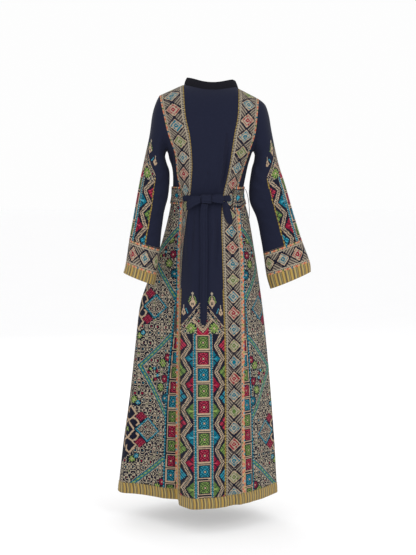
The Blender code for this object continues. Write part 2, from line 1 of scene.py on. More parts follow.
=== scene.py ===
"""Looks of a long embroidered dress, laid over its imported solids.

Every piece of cloth is a thin closed shell on the form of its solid, with one mesh cell for each
stitch. The designs are charted in stitches and painted on the cells as a colour attribute.
The front faces -Y, the wearer's left is +X, and Z is zero at the neck point of the shoulder seam.
"""
import logging
import math
from dataclasses import dataclass, field
from enum import IntEnum
from functools import partial
from typing import NamedTuple, Sequence

import bpy
import numpy as np
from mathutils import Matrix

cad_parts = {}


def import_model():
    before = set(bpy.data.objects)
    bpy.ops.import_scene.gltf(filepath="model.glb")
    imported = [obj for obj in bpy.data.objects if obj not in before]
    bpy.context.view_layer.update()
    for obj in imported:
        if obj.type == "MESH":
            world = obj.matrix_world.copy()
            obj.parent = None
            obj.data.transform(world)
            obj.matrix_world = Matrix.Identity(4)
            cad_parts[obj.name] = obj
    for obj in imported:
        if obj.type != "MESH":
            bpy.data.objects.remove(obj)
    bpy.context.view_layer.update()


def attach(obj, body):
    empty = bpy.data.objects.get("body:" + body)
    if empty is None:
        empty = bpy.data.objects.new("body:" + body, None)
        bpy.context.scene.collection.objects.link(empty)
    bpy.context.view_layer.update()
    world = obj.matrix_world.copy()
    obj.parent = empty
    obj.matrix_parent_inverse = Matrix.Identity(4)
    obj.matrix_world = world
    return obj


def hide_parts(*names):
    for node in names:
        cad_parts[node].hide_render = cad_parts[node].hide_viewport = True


log = logging.getLogger("dress")

STITCH = 0.00285
PLAIN_STEP = 0.0055
SKIN = 0.0011
COARSE = 4
ROUND = 12.0
SIDE_COLUMN = 3.0
SEAM_COLUMNS = (-3.0, -2.0, -1.0, 1.0, 2.0, 3.0)
COLUMN_REACH = 0.02
DROP_REACH = 0.01
HALVINGS = 26
SAG_START = 0.7
SAG_LENGTH = 0.6
CREASE_SHIFT = 0.7
CREASE_FALL = 1.6
CREASE_ENDS = (0.04, 0.96)
CREASE_GROWTH = 0.7
FACING_GAIN = 2.0
FACING_START = 0.4
BINDING_SKIN = 0.0016
SHARP_ANGLE = math.radians(60)
PLAIN_VARIATION = 0.008
THREAD_VARIATION = 0.09
EPSILON = 1e-9
DYE_STRENGTH = 0.80

YOKE_Z = -0.11
NECK_Z = -0.006
NECK_HALF = 0.090
SHOULDER_SLOPE = 0.48
SHOULDER_TILT = 0.035
SHOULDER_Y = 0.004
BACK_NECK_ANGLE = 60.0
FRONT_NECK_ANGLE = 28.0
NECK_CURVE = 2.2
COLLAR_HEIGHT = 0.026
COLLAR_LEAN = 0.010
SIDE_ROUNDING = 0.2
RECESS_START = 0.35
HEM_DROP = 0.007
UNDERARM = 0.125
BELT_TOP = 0.238
WAIST = 0.266
BELT_LOW = 0.296
HEM_SEAM = 1.262
HEM_END = 1.298
BELT_OFFSET = 0.0010
WALL = 0.002
BELT_START = 1.9
BELT_END = 10.4


class Section(NamedTuple):
    """One horizontal section of the body."""

    z: float
    side_l: float
    side_r: float
    y_l: float
    y_r: float
    back: float
    front: float
    power: float
    recess: float


class Seams(NamedTuple):
    """Where the lengthwise seams lie at a height."""

    z: float
    gold_l: float
    peach_l: float
    gold_r: float
    peach_r: float


class Fold(NamedTuple):
    """A lengthwise fold of the skirt: place and half width in columns, and its depth."""

    place: float
    half_width: float
    start_z: float
    full_z: float
    depth: float


class Crease(NamedTuple):
    """A soft ridge with a trough beside it, along a path seen from the back or the front."""

    path: tuple[tuple[float, float], ...]
    face: float
    half_width: float
    depth: float


class Ring(NamedTuple):
    """One section of a sleeve: the edge next to the body, the outer edge, and the depth."""

    in_x: float
    in_z: float
    out_x: float
    out_z: float
    y: float
    depth: float


class Stop(NamedTuple):
    """One section of a sash piece."""

    x: float
    z: float
    lift: float
    half_width: float
    half_depth: float = WALL


SECTIONS = [Section(*row) for row in (
    (-0.11, 0.182, -0.196, 0.0, 0.0, 0.112, 0.098, 2.4, 0.0),
    (-0.17, 0.168, -0.182, 0.0, 0.0, 0.114, 0.122, 2.3, 0.0),
    (-0.235, 0.14, -0.146, 0.0, 0.0, 0.108, 0.134, 2.2, 0.0),
    (-0.31, 0.124, -0.126, 0.0, 0.0, 0.095, 0.12, 2.2, 0.0),
    (-0.376, 0.127, -0.118, 0.0, 0.0, 0.084, 0.108, 2.2, 0.04),
    (-0.45, 0.14, -0.136, -0.02, 0.0, 0.11, 0.116, 2.1, 0.2),
    (-0.56, 0.17, -0.155, -0.045, -0.005, 0.148, 0.118, 2.0, 0.42),
    (-0.69, 0.218, -0.175, -0.055, -0.01, 0.178, 0.135, 1.8, 0.52),
    (-0.76, 0.24, -0.184, -0.05, -0.01, 0.19, 0.15, 1.7, 0.54),
    (-0.9, 0.257, -0.198, -0.04, -0.01, 0.208, 0.175, 1.6, 0.54),
    (-1.08, 0.277, -0.213, -0.03, -0.005, 0.226, 0.205, 1.5, 0.54),
    (-1.24, 0.299, -0.225, -0.02, 0.0, 0.24, 0.225, 1.45, 0.54),
    (-1.41, 0.318, -0.235, -0.01, 0.0, 0.25, 0.245, 1.4, 0.54),
)]
BACK_SEAMS = [Seams(*row) for row in (
    (0.0, 0.086, 0.169, -0.1, -0.169), (-0.11, 0.078, 0.152, -0.096, -0.163),
    (-0.17, 0.065, 0.138, -0.085, -0.156), (-0.235, 0.058, 0.116, -0.075, -0.136),
    (-0.31, 0.058, 0.108, -0.062, -0.11), (-0.376, 0.064, 0.094, -0.048, -0.096),
    (-0.45, 0.075, 0.094, -0.042, -0.1), (-0.56, 0.089, 0.101, -0.044, -0.11),
    (-0.69, 0.096, 0.102, -0.048, -0.113), (-0.9, 0.1, 0.105, -0.055, -0.114),
    (-1.24, 0.1, 0.107, -0.055, -0.116), (-1.41, 0.1, 0.108, -0.054, -0.118),
)]
FRONT_SEAMS = [Seams(*row) for row in (
    (0.0, 0.086, 0.169, -0.1, -0.169), (-0.11, 0.078, 0.15, -0.092, -0.16),
    (-0.235, 0.068, 0.122, -0.078, -0.134), (-0.376, 0.054, 0.096, -0.056, -0.096),
    (-0.56, 0.068, 0.124, -0.064, -0.116), (-0.9, 0.094, 0.156, -0.074, -0.134),
    (-1.41, 0.108, 0.178, -0.084, -0.15),
)]
MAIN_FOLDS = [Fold(*row) for row in (
    (2.45, 0.4, -0.5, -1.1, 0.16), (2.8, 0.2, -0.6, -1.2, -0.2), (-1.45, 0.4, -0.45, -1.0, 0.05),
    (-2.55, 0.35, -0.5, -1.1, 0.12), (3.5, 0.45, -0.45, -1.0, 0.14), (4.6, 0.45, -0.42, -0.9, -0.08),
    (5.55, 0.45, -0.42, -0.9, 0.1), (-5.5, 0.45, -0.42, -0.95, 0.09), (-4.45, 0.5, -0.42, -0.9, -0.07),
    (-3.5, 0.45, -0.5, -1.05, 0.12),
)]

# Smaller folds of the skirt, whose depth is in metres, outwards where it is positive
SOFT_FOLDS = [Fold(*row) for row in (
    (-0.62, 0.22, -0.62, -0.98, 0.0028), (-0.1, 0.2, -0.8, -1.22, -0.003),
    (0.46, 0.18, -0.55, -0.9, 0.0034), (-1.2, 0.16, -0.7, -1.1, -0.0026),
    (-1.78, 0.2, -0.56, -0.92, 0.0042), (-2.22, 0.15, -0.86, -1.2, -0.004),
    (-2.86, 0.16, -0.66, -1.05, 0.0045), (1.55, 0.25, -0.5, -0.8, -0.003),
    (2.14, 0.1, -0.48, -0.74, 0.004), (2.62, 0.1, -0.9, -1.25, 0.0045), (3.12, 0.12, -0.62, -1.0, -0.005),
    (3.3, 0.1, -0.9, -1.22, 0.004), (3.78, 0.14, -0.52, -0.84, 0.0044),
    (4.22, 0.16, -0.74, -1.12, -0.0034), (4.92, 0.2, -0.58, -0.96, 0.0036),
    (5.22, 0.18, -0.86, -1.2, -0.003), (5.84, 0.15, -0.6, -1.02, -0.0034),
    (-5.78, 0.16, -0.72, -1.1, 0.0032), (-5.12, 0.2, -0.55, -0.9, -0.0032),
    (-4.74, 0.16, -0.82, -1.16, 0.0038), (-4.1, 0.18, -0.6, -0.95, 0.004),
    (-3.72, 0.12, -0.9, -1.2, -0.0042), (-3.2, 0.12, -0.54, -0.88, 0.0046),
)]
CREASES = [Crease(*row) for row in (
    (((-0.056, -0.175), (-0.048, -0.27), (-0.034, -0.372)), 1.0, 0.008, 0.006),
    (((-0.07, -0.2), (-0.06, -0.29), (-0.046, -0.365)), 1.0, 0.008, -0.003),
    (((-0.146, -0.246), (-0.15, -0.285), (-0.142, -0.318)), 1.0, 0.007, 0.0042),
    (((-0.178, -0.128), (-0.188, -0.15), (-0.192, -0.182)), 1.0, 0.007, 0.003),
    (((-0.128, -0.17), (-0.104, -0.235), (-0.092, -0.262)), 1.0, 0.011, 0.003),
    (((0.128, -0.235), (0.131, -0.268), (0.13, -0.308)), 1.0, 0.007, 0.004),
    (((0.098, -0.205), (0.07, -0.262), (0.052, -0.33)), 1.0, 0.01, 0.0026),
    (((0.006, -0.262), (0.01, -0.318), (0.022, -0.372)), 1.0, 0.009, 0.0022),
    (((0.058, -0.412), (0.064, -0.48), (0.066, -0.6)), 1.0, 0.009, 0.0048),
    (((-0.018, -0.412), (-0.022, -0.5), (-0.012, -0.64)), 1.0, 0.01, 0.0055),
    (((-0.072, -0.412), (-0.082, -0.48), (-0.086, -0.59)), 1.0, 0.009, 0.0032),
    (((0.11, -0.225), (0.1, -0.275), (0.072, -0.33)), -1.0, 0.009, 0.0034),
    (((-0.118, -0.215), (-0.104, -0.28), (-0.08, -0.345)), -1.0, 0.01, 0.0036),
    (((0.04, -0.19), (0.028, -0.26), (0.03, -0.34)), -1.0, 0.011, 0.0026),
    (((-0.052, -0.16), (-0.034, -0.235), (-0.02, -0.3)), -1.0, 0.01, 0.0024),
    (((0.06, -0.412), (0.072, -0.5), (0.082, -0.64)), -1.0, 0.011, 0.0036),
    (((-0.01, -0.412), (0.004, -0.52), (0.002, -0.66)), -1.0, 0.012, 0.0036),
    (((-0.07, -0.412), (-0.078, -0.49), (-0.096, -0.6)), -1.0, 0.01, 0.0034),
)]
SLEEVE_CREASES = [Crease(*row) for row in (
    (((0.144, -0.25), (0.158, -0.285), (0.176, -0.3)), 1.0, 0.011, 0.0024),
    (((0.146, -0.3), (0.166, -0.33), (0.196, -0.34)), 1.0, 0.012, 0.0025),
    (((0.148, -0.372), (0.172, -0.384), (0.206, -0.376)), 1.0, 0.012, 0.0025),
    (((0.16, -0.432), (0.19, -0.448), (0.226, -0.436)), 1.0, 0.012, 0.0022),
    (((0.172, -0.492), (0.2, -0.512), (0.236, -0.506)), 1.0, 0.011, 0.0018),
    (((0.15, -0.16), (0.16, -0.205), (0.156, -0.24)), 1.0, 0.012, 0.0019),
    (((-0.15, -0.262), (-0.168, -0.3), (-0.196, -0.318)), 1.0, 0.012, 0.0025),
    (((-0.146, -0.33), (-0.172, -0.352), (-0.214, -0.352)), 1.0, 0.012, 0.0026),
    (((-0.15, -0.394), (-0.186, -0.416), (-0.236, -0.4)), 1.0, 0.013, 0.0025),
    (((-0.176, -0.452), (-0.206, -0.47), (-0.256, -0.462)), 1.0, 0.012, 0.0021),
    (((-0.186, -0.512), (-0.22, -0.526), (-0.266, -0.512)), 1.0, 0.011, 0.0018),
    (((-0.176, -0.17), (-0.172, -0.212), (-0.16, -0.246)), 1.0, 0.012, 0.0019),
    (((0.146, -0.262), (0.17, -0.3), (0.198, -0.312)), -1.0, 0.013, 0.0025),
    (((0.15, -0.35), (0.18, -0.368), (0.214, -0.352)), -1.0, 0.013, 0.0026),
    (((0.166, -0.436), (0.2, -0.46), (0.236, -0.44)), -1.0, 0.012, 0.0021),
    (((-0.152, -0.276), (-0.176, -0.312), (-0.212, -0.322)), -1.0, 0.013, 0.0026),
    (((-0.15, -0.366), (-0.19, -0.392), (-0.24, -0.376)), -1.0, 0.013, 0.0025),
    (((-0.18, -0.456), (-0.216, -0.48), (-0.262, -0.466)), -1.0, 0.012, 0.002),
)]
SLEEVES = {
    "left": [Ring(*row) for row in (
        (0.1435, -0.2285, 0.182, -0.064, 0.0, 0.07), (0.1475, -0.2335, 0.194, -0.105, 0.0, 0.067),
        (0.1495, -0.252, 0.204, -0.175, 0.0, 0.062), (0.135, -0.3, 0.22, -0.248, 0.005, 0.058),
        (0.139, -0.376, 0.236, -0.325, 0.018, 0.054), (0.152, -0.43, 0.25, -0.405, 0.036, 0.05),
        (0.162, -0.5, 0.261, -0.47, 0.052, 0.048), (0.167, -0.559, 0.271, -0.526, 0.062, 0.047),
        (0.177, -0.645, 0.283, -0.607, 0.068, 0.047), (0.185, -0.68, 0.291, -0.638, 0.07, 0.047),
    )],
    "right": [Ring(*row) for row in (
        (-0.1505, -0.2285, -0.192, -0.07, 0.0, 0.074), (-0.1545, -0.2335, -0.205, -0.108, 0.0, 0.072),
        (-0.155, -0.252, -0.215, -0.165, 0.0, 0.067), (-0.14, -0.325, -0.236, -0.262, 0.002, 0.06),
        (-0.139, -0.395, -0.262, -0.345, 0.008, 0.054), (-0.163, -0.455, -0.284, -0.422, 0.014, 0.05),
        (-0.176, -0.5175, -0.302, -0.482, 0.02, 0.047), (-0.186, -0.576, -0.317, -0.528, 0.024, 0.044),
        (-0.197, -0.652, -0.345, -0.604, 0.028, 0.042), (-0.21, -0.697, -0.349, -0.638, 0.028, 0.042),
    )],
}
YOKE_ROWS = [-1.0, -0.78, -0.53, -0.28, 0.0, 0.06, UNDERARM]
UNDERARM_STEPS = 12
CUFF_RING = 8
BINDING_RING = 9
ARMHOLE_SHARE = 148.0
CUFF_SHARE = 100.0
SPACING_RINGS = 5
BLEND_RINGS = 2
BLEND_POWER = 0.6

BUNDLES = {
    "tie_left": [Stop(*row) for row in (
        (0.086, -0.389, 0.004, 0.0105, 0.002), (0.076, -0.386, 0.004, 0.009, 0.0024),
        (0.056, -0.385, 0.0042, 0.0085, 0.0026), (0.029, -0.389, 0.0044, 0.008, 0.0028),
    )],
    "tie_right": [Stop(*row) for row in (
        (-0.0135, -0.39, 0.0044, 0.008, 0.0028), (-0.035, -0.388, 0.0042, 0.0085, 0.0026),
        (-0.056, -0.387, 0.004, 0.01, 0.0024), (-0.072, -0.387, 0.004, 0.012, 0.002),
    )],
    "sash_knot": [Stop(*row) for row in (
        (0.0275, -0.3905, 0.011, 0.008, 0.005), (0.023, -0.39, 0.0125, 0.015, 0.0095),
        (0.008, -0.391, 0.0135, 0.0155, 0.0105), (-0.007, -0.39, 0.0125, 0.015, 0.0095),
        (-0.012, -0.3905, 0.011, 0.008, 0.005),
    )],
}
TAILS = {
    "tail_long": [Stop(*row) for row in (
        (0.014, -0.4078, 0.013, 0.011), (0.0165, -0.43, 0.0065, 0.012), (0.017, -0.475, 0.0048, 0.0125),
        (0.016, -0.55, 0.0046, 0.0122), (0.0165, -0.63, 0.005, 0.012), (0.0175, -0.71, 0.0054, 0.012),
        (0.018, -0.77, 0.006, 0.0118), (0.018, -0.798, 0.006, 0.0095), (0.018, -0.807, 0.006, 0.0055),
    )],
    "tail_short": [Stop(*row) for row in (
        (-0.051, -0.3985, 0.0042, 0.008), (-0.056, -0.416, 0.0042, 0.0125),
        (-0.062, -0.442, 0.0042, 0.0135), (-0.068, -0.462, 0.004, 0.011), (-0.072, -0.474, 0.004, 0.004),
    )],
    "bow_loop_left": [Stop(*row) for row in (
        (0.0264, -0.392, 0.0206, 0.011), (0.042, -0.396, 0.0235, 0.016), (0.056, -0.404, 0.023, 0.0195),
        (0.065, -0.41, 0.0195, 0.018), (0.0655, -0.41, 0.016, 0.0175), (0.056, -0.404, 0.014, 0.017),
        (0.042, -0.398, 0.014, 0.014), (0.03, -0.395, 0.015, 0.009),
    )],
    "bow_loop_right": [Stop(*row) for row in (
        (-0.0095, -0.39, 0.0222, 0.011), (-0.024, -0.3905, 0.0225, 0.014),
        (-0.036, -0.3915, 0.0215, 0.015), (-0.043, -0.3915, 0.0185, 0.014),
        (-0.043, -0.3915, 0.015, 0.014), (-0.035, -0.391, 0.0132, 0.013), (-0.024, -0.3905, 0.0134, 0.011),
        (-0.015, -0.39, 0.0142, 0.008),
    )],
}
SIDE_TAPE = [
    (-0.1250, 0.003, -0.3560), (-0.1290, 0.004, -0.3640), (-0.1345, 0.006, -0.3850),
    (-0.1380, 0.008, -0.4100), (-0.1395, 0.006, -0.4350), (-0.1386, 0.004, -0.4580),
]


class Thread(IntEnum):
    """The plain cloths and the thread colours, as numbers painted on the cells."""

    (CREPE, NAVY, BEIGE, STONE, TAUPE, UMBER, TEAL, CYAN, CRIMSON,
     ROSE, GREEN, LIME, GOLD, BROWN, PEACH, ORANGE, LINING) = range(17)


SHADES: dict[Thread, tuple[int, int, int]] = {
    Thread.CREPE: (27, 30, 47),
    Thread.NAVY: (24, 26, 42),
    Thread.BEIGE: (198, 172, 144),
    Thread.STONE: (184, 172, 150),
    Thread.TAUPE: (120, 108, 99),
    Thread.UMBER: (96, 86, 78),
    Thread.TEAL: (14, 114, 136),
    Thread.CYAN: (74, 168, 190),
    Thread.CRIMSON: (152, 24, 56),
    Thread.ROSE: (200, 78, 98),
    Thread.GREEN: (96, 126, 66),
    Thread.LIME: (150, 176, 92),
    Thread.GOLD: (168, 146, 72),
    Thread.BROWN: (122, 96, 56),
    Thread.PEACH: (216, 166, 130),
    Thread.ORANGE: (216, 104, 76),
    Thread.LINING: (26, 28, 44),
}
SOFTER = {
    Thread.TEAL: Thread.CYAN,
    Thread.CRIMSON: Thread.ROSE,
    Thread.GREEN: Thread.LIME,
}
SOFT_OF = np.array([SOFTER.get(thread, thread) for thread in Thread])

# Charted repeats, one sign for each stitch; the first column is the line of symmetry
SIGNS = {
    ".": Thread.NAVY, "b": Thread.BEIGE, "s": Thread.STONE, "r": Thread.CRIMSON,
    "t": Thread.TEAL, "g": Thread.LIME, "c": Thread.CYAN, "n": Thread.NAVY, " ": Thread.CREPE,
}
SCROLL = [
    "s...sss..", "ss.s...s.", ".s.s.r.s.", "s..s..ss.", "ss..s...s", "r.s..ss.s", "ss.ss..ss",
    "s.s..s...", "..s.t.s.s", "s.s..s..s", "ss.ss..s.", ".s....s..", "g.ssss..s", ".s....s.s",
    "ss.ss..s.", "s.s..s..s",
]
PALMETTE = [
    "s     ", "ss    ", "ss    ", "s     ", "s     ", "b g   ", "b  g  ", "bb g  ", "nb  g ", "bb g  ",
    "bbb g ", "bbbb g", "bnbbg ", "nnbb  ", "bnbb  ", "bbb   ", "bb    ", "b     ", "b     ",
]
DROPLET = [
    "s     ", "s     ", "s     ", "b     ", "b  c  ", "bb c  ", "bb  c ", "nb  c ", "nbb  c", "nbb  c",
    "bbb   ", "bb    ", "b     ",
]
ROSETTE = ["bnFLnF", "nLFFnF", "FFnFLn", "LFFnFF", "nnLFnF", "FFnLFn", "FLFFnF"]

# The dotted line of the side panel: height below the neck point, then its place out from the peach line
DOTTED_LINE = [
    (0.40, 0.004), (0.70, 0.006), (0.86, 0.020), (0.94, 0.027), (1.02, 0.034), (1.10, 0.040), (1.22, 0.043),
    (1.42, 0.048),
]

# The legs of the great zigzag, each as place out from the dotted line and height, at its top and its foot
GREAT_ZIGZAG = [
    ((0.000, -0.485), (0.108, -0.590)), ((0.108, -0.590), (0.000, -0.732)),
    ((0.000, -0.850), (0.124, -0.968)), ((0.124, -0.968), (0.000, -1.135)),
    ((0.000, -1.272), (0.145, -1.386)),
]

# The scrolls at the side, drawn as strokes: stitches out from the dotted line, then from their middle
SCROLL_STROKES = [
    [(47.0, 33.0), (51.0, 28.5), (47.5, 23.5), (43.5, 19.0), (48.0, 14.0), (54.0, 10.5), (50.5, 5.5),
     (46.0, 0.0)],
    [(47.5, 23.5), (41.0, 25.0), (38.0, 29.5)],
    [(43.5, 19.0), (39.5, 17.0), (40.5, 12.0)],
    [(48.0, 14.0), (43.0, 12.0), (40.5, 7.0), (43.5, 5.0)],
    [(51.0, 28.5), (56.0, 25.0), (55.0, 20.0)],
    [(54.0, 10.5), (60.0, 13.0), (61.5, 19.0), (58.0, 22.0)],
    [(54.0, 10.5), (60.5, 7.0), (61.0, 2.0)],
    [(66.0, 16.0), (67.0, 9.0), (71.0, 3.0)],
]

# The flowers of the side panel: stitches out from the dotted line, height, radius and thread
SIDE_FLOWERS = [
    (4.0, 0.9325, 4.6, Thread.CRIMSON), (11.0, 0.9535, 5.2, Thread.LIME), (6.5, 1.006, 4.6, Thread.CRIMSON),
    (12.0, 1.037, 5.2, Thread.LIME), (4.0, 1.0725, 5.4, Thread.TEAL), (47.5, 1.085, 4.4, Thread.LIME),
    (42.5, 1.096, 3.0, Thread.CYAN), (47.5, 1.291, 4.4, Thread.LIME), (42.5, 1.280, 3.0, Thread.CYAN),
    (55.5, 1.188, 3.2, Thread.LIME),
]
SQUARE_DYES = [
    Thread.TEAL, Thread.CRIMSON, Thread.GREEN, Thread.CRIMSON, Thread.GREEN, Thread.TEAL, Thread.CRIMSON,
    Thread.GREEN, Thread.TEAL, Thread.CRIMSON, Thread.GREEN,
]


def linear(shade: Sequence[int]) -> tuple[float, float, float]:
    """Turn an eight-bit shade into scene-linear colour.

    Args:
        shade: red, green and blue from 0 to 255.

    Returns:
        The same colour in linear light.
    """
    parts = [v / 255.0 for v in shade]
    return tuple(v / 12.92 if v <= 0.04045 else ((v + 0.055) / 1.055) ** 2.4 for v in parts)


def smooth(t: np.ndarray) -> np.ndarray:
    """A soft step from 0 to 1."""
    t = np.clip(t, 0.0, 1.0)
    return t * t * (3.0 - 2.0 * t)


def unit(v: np.ndarray) -> np.ndarray:
    """Vectors of length one."""
    return v / np.maximum(np.linalg.norm(v, axis=-1, keepdims=True), EPSILON)


def wrap(c: np.ndarray | float) -> np.ndarray | float:
    """The same columns counted from -6 to 6, as twelve of them go once round."""
    return (c + ROUND / 2) % ROUND - ROUND / 2


def joined(grid: np.ndarray) -> np.ndarray:
    """The grid of a tube, with its first column again at the end."""
    return np.concatenate([grid, grid[:, :1]], axis=1)


def outward(grid: np.ndarray, closed: bool) -> np.ndarray:
    """The outward directions of a grid of points."""
    around = np.roll(grid, -1, axis=1) - np.roll(grid, 1, axis=1) if closed else np.gradient(grid, axis=1)
    return unit(np.cross(around, np.gradient(grid, axis=0)))


def middles(run: np.ndarray) -> np.ndarray:
    """The distance run at the middle of each cell."""
    return (run[:-1, 1:] + run[:-1, :-1]) / 2


def cell_heights(grid: np.ndarray) -> np.ndarray:
    """The height at the middle of each cell."""
    return (grid[:-1, :-1, 2] + grid[1:, 1:, 2]) / 2


def cells_of(rows: int, columns: int) -> list[np.ndarray]:
    """The row and the column number of each cell."""
    return np.meshgrid(np.arange(rows), np.arange(columns), indexing="ij")


def cycle(threads: Sequence[Thread], k: np.ndarray) -> np.ndarray:
    """Take threads by turns."""
    return np.array(threads)[k % len(threads)]


def gold_line(i: np.ndarray) -> np.ndarray:
    """The stitches of a gold line, two of gold and two of brown."""
    return cycle((Thread.GOLD, Thread.BROWN), i // 2)


def add_object(name: str, data: bpy.types.ID) -> bpy.types.Object:
    """Put an object into the scene.

    Args:
        name: its name.
        data: its mesh, light or camera.

    Returns:
        The object.
    """
    made = bpy.data.objects.new(name, data)
    bpy.context.scene.collection.objects.link(made)
    return made


def curve(values: np.ndarray, places: np.ndarray, closed: bool = False) -> np.ndarray:
    """Read a row of control values at fractional places along a smooth spline.

    Args:
        values: control values, the first axis along the curve.
        places: where to read, counted in control values.
        closed: whether the curve runs back into its start.

    Returns:
        The values at the places.
    """
    count = len(values)
    k = np.floor(places).astype(int)
    if not closed:
        k = np.clip(k, 0, count - 2)
    t = (places - k).reshape((-1,) + (1,) * (values.ndim - 1))

    def at(n: np.ndarray) -> np.ndarray:
        return values[n % count] if closed else values[np.clip(n, 0, count - 1)]

    a, b, c, d = at(k - 1), at(k), at(k + 1), at(k + 2)
    return b + 0.5 * t * (c - a + t * (2 * a - 5 * b + 4 * c - d + t * (3 * (b - c) + d - a)))


def lengths(points: np.ndarray) -> np.ndarray:
    """Distance run along each row of a grid of points, from zero at its first point.

    Args:
        points: the rows of points.

    Returns:
        The distances.
    """
    steps = np.linalg.norm(np.diff(points, axis=-2), axis=-1)
    start = np.zeros(steps.shape[:-1] + (1,))
    return np.concatenate([start, np.cumsum(steps, axis=-1)], axis=-1)


def even(grid: np.ndarray, cells: int, run: np.ndarray | None = None) -> np.ndarray:
    """Spread each row's points evenly along its own length, or along another measure.

    Args:
        grid: rows of points.
        cells: how many cells each row gets.
        run: the measure at each point, where it isn't the length.

    Returns:
        Rows of cells + 1 points.
    """
    run = lengths(grid) if run is None else run
    result = np.empty((len(grid), cells + 1, grid.shape[-1]))
    for i, row in enumerate(grid):
        places = np.linspace(0.0, run[i, -1], cells + 1)
        for axis in range(grid.shape[-1]):
            result[i, :, axis] = np.interp(places, run[i], row[:, axis])
    return result


def whole(length: float, step: float) -> int:
    """How many cells of about a step fit a length, as a multiple of the lining's coarser cell."""
    return max(COARSE, COARSE * round(length / step / COARSE))


